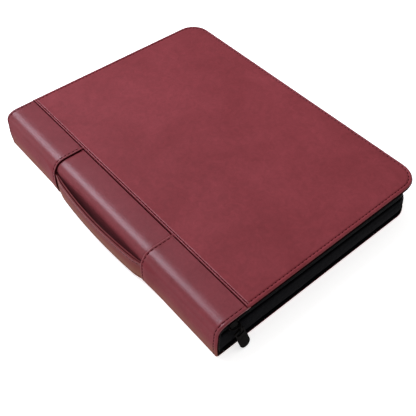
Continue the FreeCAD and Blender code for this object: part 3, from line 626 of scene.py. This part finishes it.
# Each ring of a panel: inset from the free edges, drop there, inset from the seam, drop there.
# Drops are below the outside of the cover. The rings before FIRST_OUTER are the turned-in edge underneath,
# and from FIRST_GROOVE on a ring also takes the drop of the other kind of edge near a corner.
PANEL_RINGS = (
    (2.2, 3.1, 1.1, 1.3), (0.7, 3.1, 0.4, 1.7), (0.25, 3.0, 0.1, 1.7), (0.05, 2.6, 0.0, 1.5), (0.0, 2.0, 0.0, 1.2),
    (0.08, 1.4, 0.02, 0.7), (0.35, 0.9, 0.1, 0.3), (0.8, 0.45, 0.28, -0.05), (1.4, 0.15, 0.55, -0.25),
    (2.0, 0.05, 0.85, -0.3), (2.5, 0.2, 1.15, -0.12), (2.9, 0.5, 1.4, 0.25), (3.25, 0.95, 1.62, 0.8),
    (3.65, 0.95, 1.88, 0.8), (4.0, 0.5, 2.1, 0.25), (4.5, 0.25, 2.4, -0.12), (5.4, 0.12, 2.9, -0.28),
    (7.0, 0.06, 4.0, -0.2), (10.0, 0.02, 8.5, -0.1), (15.0, -0.05, 14.0, -0.08), (24.0, -0.1, 22.0, -0.1),
    (36.0, -0.15, 34.0, -0.15), (52.0, -0.2, 50.0, -0.2), (70.0, -0.2, 68.0, -0.2), (90.0, -0.2, 88.0, -0.2),
    (109.0, -0.2, 108.0, -0.2),
)
FIRST_OUTER, FIRST_GROOVE = 4, 5
STITCH_GROOVE = 1.75
TINY = 1e-6


LINING_DROP = 2.2


def panel(name, height_at, waviness):
    """A padded leather panel with a turned rim, a sewn groove and a folded seam edge."""
    free = sorted({(inset, drop) for inset, drop, _, _ in PANEL_RINGS[FIRST_OUTER:]})
    seam = sorted({(inset, drop) for _, _, inset, drop in PANEL_RINGS[FIRST_OUTER:]})

    def dip(table, distance):
        return np.interp(distance, [row[0] for row in table], [row[1] for row in table])

    points = []
    for number, (inset, drop, seam_inset, seam_drop) in enumerate(PANEL_RINGS):
        ring = outline(inset, seam_inset)
        for x, y in ring:
            at_seam = x - SEAM - seam_inset < TINY
            own = seam_drop if at_seam else drop
            if number >= FIRST_GROOVE:
                other = dip(free, END - abs(y)) if at_seam else dip(seam, x - SEAM)
                own += max(0.0, other)
            ripple = waviness * noise.noise(Vector((x / 38.0, y / 38.0, 3.0))) * smooth_step(inset, 3, 20)
            points.append((x, y, height_at(own - ripple)))
    columns = len(outline(0, 0))
    faces = lattice_faces(len(PANEL_RINGS), columns, False, True)
    last = (len(PANEL_RINGS) - 1) * columns
    faces.append(tuple(last + step for step in reversed(range(columns))))
    inner_ring = [(x, y, height_at(LINING_DROP)) for x, y in outline(2.2, 1.5)]
    first_inner = len(points)
    points += inner_ring
    for step in range(columns):
        after = (step + 1) % columns
        faces.append((step, first_inner + step, first_inner + after, after))
    faces.append(tuple(first_inner + step for step in range(columns)))
    return mesh_piece(name, points, faces, MATTE_RED)


def panel_stitches(name, height_at, up, body):
    """The rows sewn along the three free edges and along the seam."""
    free = [(x, y, height_at(0.72)) for x, y in free_edges(3.45, STITCH_GROOVE, 3)]
    seam = [(SEAM + STITCH_GROOVE, y, height_at(0.5)) for y in np.linspace(-END + 4.5, END - 4.5, 60)]
    for mark, line, length, radius in (("edge", free, 1.8, 0.4), ("seam", seam, 4.0, 0.34)):
        row = stitches(f"{name}_stitches_{mark}", line, [(0, 0, up)] * len(line), THREAD_RED, 4.6, length, radius)
        on(row, body, "panel_leather")


BACK_LIFT = 0.22


def cover_panels():
    def from_top(drop):
        return TOP - drop

    def from_table(drop):
        """The back panel's rim is shallow: past 1 mm it drops three tenths as fast."""
        return max(0.0, BACK_LIFT + (drop if drop < 1.0 else 1.0 + 0.3 * (drop - 1.0)))

    cover = on(panel("front_cover_leather", from_top, 0.14), "front_cover", "panel_leather", "front_panel")
    panel_stitches("front", from_top, 1, "front_cover")
    on(panel("back_cover_leather", from_table, 0.0), "back_cover", "panel_leather", "back_panel")
    panel_stitches("back", from_table, -1, "back_cover")
    # A near-black tube along the rim's side paints its shade.
    lip = [(x, y, TOP - 2.25) for x, y in free_edges(0.12, 0.0, 0.3)]
    on(tube("front_rim_shade", lip, 0.62, GAP_SHADE_RED), "front_cover", "panel_leather")
    # The two crest tubes along the seam carry a painted highlight of its folded edges.
    for number, across in enumerate((0.72, 2.75)):
        crest = [(SEAM + across, y, TOP + 0.08) for y in np.linspace(-END + 2.5, END - 2.5, 60)]
        on(tube(f"seam_crest_{number + 1}", crest, 0.26, PAINTED_HIGHLIGHT), "front_cover", "panel_leather")

    def seam_height(y):
        """The seam's lower edge lies on the bands at both ends and on the wrap between them."""
        if abs(y) > BAND_EDGE + 1:
            return BAND_TOP + 0.12
        return BAND_TOP + (-0.85 if abs(y) < BAND_EDGE - 1 else -0.3)

    # A near-black tube under the seam's folded edge paints the shade of the groove.
    line = [(SEAM - 0.45, y, seam_height(y)) for y in np.linspace(-END + 0.8, END - 0.8, 120)]
    on(tube("seam_groove_shade", line, 0.42, GAP_SHADE_RED), "front_cover", "panel_leather")


# ---- carrying strap ----
def strap_section():
    """Half of the strap's outline, (across, out): two leathers with a groove between their edges."""
    half = (STRAP_HIGH - STRAP_LOW) / 2
    return [(0.0, 3.95), (half - 4.0, 3.85), (half - 3.4, 3.72), (half - 3.0, 3.4), (half - 2.6, 3.72),
            (half - 1.8, 3.8), (half - 0.8, 3.7), (half - 0.15, 3.4), (half, 3.0), (half, 2.6), (half - 0.25, 2.3),
            (half - 1.4, 2.2), (half - 1.4, 1.5), (half - 0.25, 1.4), (half, 1.1), (half, 0.5), (half - 0.3, 0.1),
            (half - 1.2, 0.0), (0.0, 0.0)]


# How far the strap bows out in its middle, how far its top leans out there, and how far its ends clear the wrap.
STRAP_BOW = 4.7
STRAP_LEAN = 0.9
STRAP_CLEAR = 0.3


def strap():
    half_section = strap_section()
    section = half_section + [(-a, d) for a, d in reversed(half_section[1:-1])]
    seat = HIDE - STRAP_CLEAR
    half_width = (STRAP_HIGH - STRAP_LOW) / 2

    def at(y, across, out):
        """A point of the strap at a distance y from its middle."""
        share = min(1.0, y / BAND_EDGE)
        thin = 1.0 - 0.5 * smooth_step(y, BAND_EDGE - 14, BAND_EDGE + 1)
        inner = seat - STRAP_BOW * (1 - share ** 2)
        return inner - out * thin - STRAP_LEAN * (1 - share ** 2) * across / half_width

    for side, end in ENDS:
        steps = np.linspace(0.0, BAND_EDGE + 3.0, 40)
        body = swept(f"strap_{end}", [[(at(y, a, d), side * y, STRAP_MIDDLE + a) for a, d in section] for y in steps],
                     STRAP_RED)
        pieces = [body]
        for mark, sign in (("low", -1), ("high", 1)):
            across = sign * (half_width - 3.0)
            line = [(at(y, across, 3.55), side * y, STRAP_MIDDLE + across) for y in steps[:-3]]
            pieces.append(stitches(f"strap_stitches_{mark}_{end}", line, [(-1, 0, 0)] * len(line), THREAD_RED,
                                   4.0, 2.8, 0.32, 0.6))
            # A near-black tube in the groove between the strap's two leathers paints its shade.
            across = sign * (half_width - 1.0)
            line = [(at(y, across, 1.85), side * y, STRAP_MIDDLE + across) for y in steps[:-2]]
            pieces.append(tube(f"strap_edge_paint_{mark}_{end}", line, 0.42, GAP_SHADE_RED))
        for made in pieces:
            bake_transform(made)
        extra = ("strap_grip_face", "strap_grip_lining") if side == HEAD else ()
        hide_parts(f"strap_end_{end}", *extra)


# ---- gusset and zip ----
def round_path(inset, start, step=2.5):
    """Points and outward directions round the tail, fore and head sides at an inset."""
    radius = CORNER_R - inset
    cx, cy = WIDTH - CORNER_R, END - CORNER_R
    path = [((x, -(END - inset)), (0.0, -1.0)) for x in np.linspace(start, cx, int((cx - start) / step))[:-1]]
    path += [((cx + radius * c, -cy + radius * s), (c, s)) for c, s in directions(-90, 0, 15)]
    path += [((WIDTH - inset, y), (1.0, 0.0)) for y in np.linspace(-cy, cy, int(2 * cy / step))[1:-1]]
    path += [((cx + radius * c, cy + radius * s), (c, s)) for c, s in directions(0, 90, 15)]
    path += [((x, END - inset), (0.0, 1.0)) for x in np.linspace(cx, start, int((cx - start) / step))[1:]]
    return path


def ribbon(name, rows, start, material, ripple=0.0):
    """A fabric strip round three sides. rows gives (height, inset) for a point x along the cover."""
    base = round_path(GUSSET, start)
    sections = []
    for number, ((x, y), (nx, ny)) in enumerate(base):
        section = []
        wave = ripple * noise.noise(Vector((x / 22.0, y / 22.0, 1.5)))
        for height, inset in rows(x):
            out = GUSSET - inset + wave * (1 if inset < GUSSET + 1.0 else 0)
            section.append((x + nx * out, y + ny * out, height))
        sections.append(section)
    return swept(name, sections, material)


# How far from the zip's line the gusset ends, and how far from the spine the fabric starts.
CLOTH_EDGE = 5.6
SPINE_START = 3.2


def lower_rows(x):
    rim = zip_z(x) - CLOTH_EDGE
    return [(FLOOR - 0.3, 2.6), (FLOOR + 0.8, 2.0), (8.5, 1.5), (12.5, 1.45), (16.0, 1.9), (rim - 3.5, 2.5),
            (rim - 1.6, 3.0), (rim - 0.6, 3.3), (rim - 0.1, 3.7), (rim + 0.05, 4.2), (rim - 0.4, 4.6),
            (rim - 2.0, 4.7), (14.0, 4.7), (FLOOR - 0.3, 4.7)]


def upper_rows(x):
    rim = zip_z(x) + CLOTH_EDGE
    return [(CEILING + 0.3, 4.7), (rim + 0.8, 4.7), (rim + 0.1, 4.5), (rim - 0.05, 4.0), (rim + 0.15, 3.5),
            (rim + 0.8, 3.1), (rim + 2.0, 2.8), (CEILING - 0.6, 2.4), (CEILING + 0.3, 2.4)]


def tape_rows(sign):
    def rows(x):
        line = zip_z(x)
        return [(line + sign * 1.6, 5.1), (line + sign * 2.2, 4.9), (line + sign * 4.5, 4.75),
                (line + sign * 8.5, 4.72), (line + sign * 8.5, 5.3), (line + sign * 4.5, 5.4),
                (line + sign * 1.6, 5.7)]
    return rows


COIL_PITCH = 1.5


def coil_row(name, sign, shift):
    """Nylon coil: one rounded turn after another along the tape's edge."""
    path = round_path(GUSSET + 1.2, 10.0, 1.0)
    points = np.array([(x, y) for (x, y), _ in path])
    normals = np.array([n for _, n in path])
    run = np.concatenate([[0.0], np.cumsum(np.linalg.norm(np.diff(points, axis=0), axis=1))])
    verts, faces = [], []
    section = ((-0.42, 0.0), (-0.2, 0.62), (0.2, 0.62), (0.42, 0.0), (0.2, -0.5), (-0.2, -0.5))
    levels = ((-0.35, 0.55), (0.0, 0.95), (1.0, 1.0), (2.4, 0.9), (3.0, 0.6))
    centre = shift
    while centre < run[-1]:
        x, y = (np.interp(centre, run, points[:, axis]) for axis in range(2))
        nx, ny = (np.interp(centre, run, normals[:, axis]) for axis in range(2))
        faces += capped_faces(len(levels), len(section), len(verts))
        for height, scale in levels:
            for along, out in section:
                verts.append((x - ny * along * scale + nx * out * scale, y + nx * along * scale + ny * out * scale,
                              zip_z(x) + sign * height))
        centre += COIL_PITCH
    return mesh_piece(name, verts, faces, COIL)


def cover_welt(name, outside, inside):
    """Black binding between a cover's leather rim and the gusset, from one height to the other."""
    way = 1 if inside > outside else -1

    def rows(_):
        return [(outside, 1.4), (outside + 0.3 * way, 0.5), (outside + 0.9 * way, 0.22), (inside - 1.0 * way, 0.25),
                (inside - 0.35 * way, 0.5), (inside, 1.2), (inside + 0.1 * way, 2.4), (inside - 0.2 * way, 3.7),
                (outside + 0.6 * way, 3.7)]
    return ribbon(name, rows, SPINE_START + 5.3, BLACK_BIND)


def gusset():
    names = ("tail", "head", "fore", "corners")
    lower = ribbon("gusset_lower", lower_rows, SPINE_START, BLACK_WEAVE, 0.35)
    flexes(lower, "lower_end", "gusset_cloth", *(f"lower_gusset_{part}" for part in names))
    upper = ribbon("gusset_upper", upper_rows, SPINE_START, BLACK_WEAVE, 0.2)
    flexes(upper, "upper_end", "gusset_cloth", *(f"upper_gusset_{part}" for part in names))
    for level, sign, end in (("lower", -1, "lower_end"), ("upper", 1, "upper_end")):
        tape = ribbon(f"tape_{level}", tape_rows(sign), SPINE_START + 1, BLACK_TAPE)
        flexes(tape, end, "gusset_cloth", f"{level}_zip_tape")
        coil = coil_row(f"coil_{level}", sign, 0.4 if sign < 0 else 1.15)
        flexes(coil, end, "zip_coil", f"{level}_zip_coil")
        line = [((x + nx * 0.25, y + ny * 0.25, zip_z(x) + sign * (CLOTH_EDGE + 1.9)), (nx, ny, 0.0))
                for (x, y), (nx, ny) in round_path(3.05, SPINE_START + 4)]
        sewn = stitches(f"tape_stitches_{level}", [p for p, _ in line], [n for _, n in line], BLACK_THREAD,
                        3.4, 2.4, 0.28)
        flexes(sewn, end, "gusset_cloth")
    on(cover_welt("welt_front", TOP - 3.3, CEILING - 0.4), "front_cover", "gusset_cloth")
    on(cover_welt("welt_back", 1.5, FLOOR + 0.4), "back_cover", "gusset_cloth")


# ---- slider and puller ----
def rounded_rectangle(width, height, radius, centre=(0.0, 0.0), steps=6):
    ring = []
    for cx, cy, start in ((1, 1, 0), (-1, 1, 90), (-1, -1, 180), (1, -1, 270)):
        ring += arc(centre[0] + cx * (width / 2 - radius), centre[1] + cy * (height / 2 - radius), radius,
                    start, start + 90, steps)
    return ring


def facing_out(x, y, z):
    """Turns a shape drawn in (x, up) so that it stands at y and faces the tail side."""
    return Matrix.Translation((x, y, z)) @ Matrix.Rotation(math.radians(90), 4, "X")


ARCH_POWER = 0.45


def slider():
    low, high = cad("slider_body")
    middle, height = (low[0] + high[0]) / 2, (low[2] + high[2]) / 2
    wide, tall = high[0] - low[0], high[2] - low[2]
    nose = [(-wide / 2, -tall * 0.26), (-wide / 2 + 1.2, -tall * 0.42), (-wide * 0.1, -tall / 2),
            (wide * 0.3, -tall * 0.46), (wide / 2, -tall * 0.36)]
    nose += [(x, -z) for x, z in reversed(nose)]
    pieces = []
    for name, y in (("slider_plate_front", low[1] + 0.5), ("slider_plate_back", high[1] - 0.5)):
        pieces.append(flat_shape(name, nose, [], 1.1, 0.3, GUNMETAL, facing_out(middle, y, height)))
    wedge = rounded_rectangle(3.0, high[1] - low[1], 0.5)
    pieces.append(flat_shape("slider_wedge", wedge, [], 0.5, 0.12, GUNMETAL,
                             Matrix.Translation((low[0] + 1.7, (low[1] + high[1]) / 2, height + 0.6))))
    for number, made in enumerate(pieces):
        on(made, "zip_slider", "zip_metal", *(("slider_body",) if number == 0 else ()))
    low, high = cad("slider_bail")
    rise, foot_y = low[1] + 0.8, high[1]
    arch = []
    for c, s in directions(180, 0, 25):
        bend = abs(s) ** ARCH_POWER
        arch.append((middle + (high[0] - low[0] - 1.6) / 2 * math.copysign(abs(c) ** ARCH_POWER, c),
                     foot_y + 0.3 - (foot_y + 0.3 - rise) * bend, (low[2] + high[2]) / 2))
    on(tube("slider_arch", arch, 0.8, GUNMETAL, sides=10), "zip_slider", "zip_metal", "slider_bail")


# Degrees: how far the link and the tab hang out from the wall, and how far the tab hangs aslant.
LINK_LEAN, TAB_LEAN = 8, 14
TAB_SLANT = 12.0


def joint_at(name):
    """Where a joint is, in mm from the spine."""
    x, y, z = next(joint for joint in frame["joints"] if joint["name"] == name)["pos_m"]
    return (x - SPINE_X) / MM, y / MM, z / MM


def puller():
    low, high = cad("puller_link")
    lean = math.radians(LINK_LEAN)
    wire = 0.7
    turn_radius = 1.8
    x0, y0, z0 = joint_at("link_swing")
    pitch = (high[2] - low[2] - 2 * (turn_radius + wire)) / math.cos(lean)
    ring = arc(0.0, 0.0, turn_radius, 0, 180, 13) + arc(0.0, -pitch, turn_radius, 180, 360, 13)
    path = [(x0, y0 + a * math.cos(lean) + b * math.sin(lean), z0 + b * math.cos(lean) - a * math.sin(lean))
            for a, b in ring]
    on(tube("link_ring", path, wire, GUNMETAL, True, 10), "link", "zip_metal", "puller_link")

    y0, z0 = joint_at("tab_swing")[1:]
    low, high = cad("pull_tab")
    x0 = (low[0] + high[0]) / 2
    half, lean = (high[0] - low[0]) / 2, math.radians(TAB_LEAN)
    length = (z0 - low[2]) / math.cos(lean) - 0.2
    side = [(half - 1.4, 0.75), (half - 0.6, 0.5), (half - 0.25, -0.2), (half - 0.6, -5.5), (half, -9.0)]
    outer = side + arc(0.0, -(length - half), half, 0, -180, 19) + [(-x, y) for x, y in reversed(side)]
    window = rounded_rectangle(2 * half - 3.6, 4.2, 1.2, (0.0, -2.9))
    matrix = (Matrix.Translation((x0, y0, z0)) @ Matrix.Rotation(-lean, 4, "X")
              @ Matrix.Rotation(math.radians(90), 4, "X"))
    hang = Matrix.Translation((0, half - length, 0))
    matrix = matrix @ hang @ Matrix.Rotation(math.radians(TAB_SLANT), 4, "Z") @ hang.inverted()
    tab = flat_shape("tab_plate", outer, [window], 1.4, 0.45, GUNMETAL, matrix)
    on(tab, "tab", "zip_metal", "pull_tab")
    field = rounded_rectangle(2 * half - 3.4, length - 12.5, (2 * half - 3.5) / 2, (0.0, -(length + 6.5) / 2))
    raised = matrix @ Matrix.Translation((0, 0, 0.62))
    on(flat_shape("tab_field", field, [], 0.5, 0.2, GUNMETAL, raised), "tab", "zip_metal")


# ---- inside ----
def hinge_cloths():
    """Lining cloth that bridges the two folds inside."""
    wide = END - 6.0
    inner = cad("spine_lining")[1][0] + 0.15
    for name, where, z, sign in (("hinge_cloth_front", "shoulder", CEILING - 0.15, 1),
                                 ("hinge_cloth_back", "foot", FLOOR + 0.15, -1)):
        bend, reach, cut = (4.0, 24.0, 0.026) if sign > 0 else (1.5, 14.8, 0.017)
        line = [(reach, z), (reach - 2.5, z), (inner + bend, z)]
        for c, s in directions(90, 180, 8)[1:]:
            line.append((inner + bend + bend * c, z - sign * bend + sign * bend * s))
        line += [(inner, z - sign * 6.0), (inner, z - sign * 8.0)]
        rows = [[(x, -wide, h), (x, wide, h), (x - 0.3, wide, h + sign * 0.3), (x - 0.3, -wide, h + sign * 0.3)]
                for x, h in line]
        cloth_piece = flexes(swept(name, rows, BLACK_LINING), where, "lining_cloth")


RING_PITCH = 70.0
POCKET_STEPS = (0.0, 0.04, 0.1, 0.3, 0.7, 0.9, 0.96)
WELD_HALF = 0.6


def page(number):
    """Clear pocket page: a white punched edge and four columns of welded pockets."""
    low, high = cad(f"coin_page_{number}")
    z = (low[2] + high[2]) / 2
    length = high[1] - low[1]
    edge = 15.0
    slots = [rounded_rectangle(9.6, 5.0, 2.4, (8.9 - edge / 2, (step - 1.5) * RING_PITCH)) for step in range(4)]
    body = f"page_{number}"
    strip = flat_shape(f"page_edge_{number}", rounded_rectangle(edge, length, 1.5), slots, 0.8, 0.15, WHITE_EDGE,
                       Matrix.Translation((low[0] + edge / 2, 0.0, z)))
    on(strip, body, "page_film", f"coin_page_{number}")
    rows_count, columns_count = 5, 4
    start = low[0] + edge - 1.5
    cell_x = (high[0] - start) / columns_count
    cell_y = length / rows_count
    xs = [start + cell_x * (c + f) for c in range(columns_count) for f in POCKET_STEPS] + [high[0]]
    ys = [low[1] + cell_y * (r + f) for r in range(rows_count) for f in POCKET_STEPS] + [high[1]]

    def puff(x, y):
        u = ((x - start) / cell_x) % 1.0
        v = ((y - low[1]) / cell_y) % 1.0
        return smooth_step(min(u, 1 - u), 0.03, 0.12) * smooth_step(min(v, 1 - v), 0.03, 0.12)

    verts = [(x, y, z + sign * (0.12 + 0.33 * puff(x, y))) for sign in (1, -1) for x in xs for y in ys]
    count = len(xs) * len(ys)
    base = lattice_faces(len(xs), len(ys))
    faces = base + [tuple(count + i for i in reversed(face)) for face in base]
    border = (list(range(len(ys))) + [i * len(ys) + len(ys) - 1 for i in range(1, len(xs))]
              + [(len(xs) - 1) * len(ys) + i for i in reversed(range(len(ys) - 1))]
              + [i * len(ys) for i in reversed(range(1, len(xs) - 1))])
    for first, second in zip(border, border[1:] + border[:1]):
        faces.append((first, second, count + second, count + first))
    on(mesh_piece(f"page_pockets_{number}", verts, faces, FILM), body, "page_film")
    bars = []
    for column in range(columns_count + 1):
        x = min(max(start + column * cell_x, start + 0.7), high[0] - 0.7)
        bars.append((x - WELD_HALF, x + WELD_HALF, low[1], high[1]))
    for row in range(rows_count + 1):
        y = min(max(low[1] + row * cell_y, low[1] + 0.7), high[1] - 0.7)
        bars.append((start, high[0], y - WELD_HALF, y + WELD_HALF))
    verts, faces = [], []
    for x0, x1, y0, y1 in bars:
        base = len(verts)
        for h in (z - 0.2, z + 0.2):
            verts += [(x0, y0, h), (x1, y0, h), (x1, y1, h), (x0, y1, h)]
        faces += [tuple(base + i for i in f) for f in ((0, 1, 2, 3), (4, 5, 6, 7), (0, 1, 5, 4), (1, 2, 6, 5),
                                                       (2, 3, 7, 6), (3, 0, 4, 7))]
    on(mesh_piece(f"page_welds_{number}", verts, faces, WELD, False), body, "page_film")


def dress_frame():
    """Materials for the CAD nodes that stay."""
    dressed = {
        BOARD: ("front_board", "back_board", "spine_board"),
        FOAM: ("front_foam", "back_felt"),
        BLACK_LINING: ("front_lining", "back_lining", "spine_lining"),
        GUNMETAL: ("lower_zip_stops", "upper_zip_stops"),
        NICKEL: ("ring_rail", "rail_rivets", "left_blade", "right_blade", "left_half_rings", "right_half_rings",
                 "lever_tail", "lever_head", "lever_pins"),
    }
    for material, names in dressed.items():
        for name in names:
            shape = frame["nodes"][name]
            if not shape.material_slots:
                shape.data.materials.append(material)
            for slot in shape.material_slots:
                slot.material = material


# ---- stage ----
# Place in metres, degrees down and from the head towards the fore edge, roll in degrees, and lens in mm.
CAMERA_AT = (-0.30119, -0.35916, 0.49138)
CAMERA_DOWN = 49.369
CAMERA_TURN = 40.353
CAMERA_ROLL = -0.14
CAMERA_LENS = 55.558


FLOOR_WIDTH, FLOOR_Z, FLOOR_GLOW = 8.0, -0.0003, 0.64
WORLD_STRENGTH = 0.4
LIGHTS = (
    ("softbox_behind", (-0.31, 0.81, 1.22), (0.7, 0.95), 23.0, (0.87, 0.87, 1.0)),
    ("softbox_left", (-1.05, 0.75, 0.55), (0.8, 0.6), 1.4, (0.96, 0.96, 1.0)),
    ("softbox_above", (0.6, -0.3, 1.7), (1.2, 1.2), 4.0, (1.0, 0.98, 0.96)),
)


def area_light(name, location, size, power, color):
    """A softbox turned to the middle of the album's footprint."""
    data = bpy.data.lights.new(name, "AREA")
    data.shape = "RECTANGLE"
    data.size, data.size_y = size
    data.energy = power
    data.color = color
    lamp = bpy.data.objects.new(name, data)
    lamp.location = location
    lamp.rotation_euler = (-Vector(location)).to_track_quat("-Z", "Y").to_euler()
    bpy.context.scene.collection.objects.link(lamp)


def stage():
    bpy.ops.mesh.primitive_plane_add(size=FLOOR_WIDTH, location=(0, 0, FLOOR_Z))
    floor = bpy.context.object
    floor.name = "floor"
    material, tree, shader, coords = blank_material("pale_floor", 0.9, 0.1)
    tree.links.new(ramp(tree, noise_node(tree, coords, 3.0), [(0.2, (0.9,) * 3), (0.8, (0.92,) * 3)]),
                   shader.inputs["Base Color"])
    shader.inputs["Emission Color"].default_value = (1.0, 1.0, 1.0, 1.0)
    shader.inputs["Emission Strength"].default_value = FLOOR_GLOW
    floor.data.materials.append(material)

    world = bpy.data.worlds.new("studio")
    world.use_nodes = True
    world.node_tree.nodes["Background"].inputs["Color"].default_value = (1.0, 0.99, 0.985, 1.0)
    world.node_tree.nodes["Background"].inputs["Strength"].default_value = WORLD_STRENGTH
    bpy.context.scene.world = world
    for name, location, size, power, color in LIGHTS:
        area_light(name, location, size, power, color)

    data = bpy.data.cameras.new("camera")
    data.lens = CAMERA_LENS
    camera = bpy.data.objects.new("camera", data)
    camera.location = CAMERA_AT
    camera.rotation_euler = (math.radians(90 - CAMERA_DOWN), math.radians(CAMERA_ROLL), math.radians(-CAMERA_TURN))
    bpy.context.scene.collection.objects.link(camera)
    bpy.context.scene.camera = camera
    bpy.context.scene.view_settings.view_transform = "Standard"


stage()
dress_frame()
cover_panels()
spine_leather()
strap()
gusset()
slider()
puller()
hinge_cloths()
for page_number in range(1, PAGE_COUNT + 1):
    page(page_number)

bpy.context.view_layer.update()
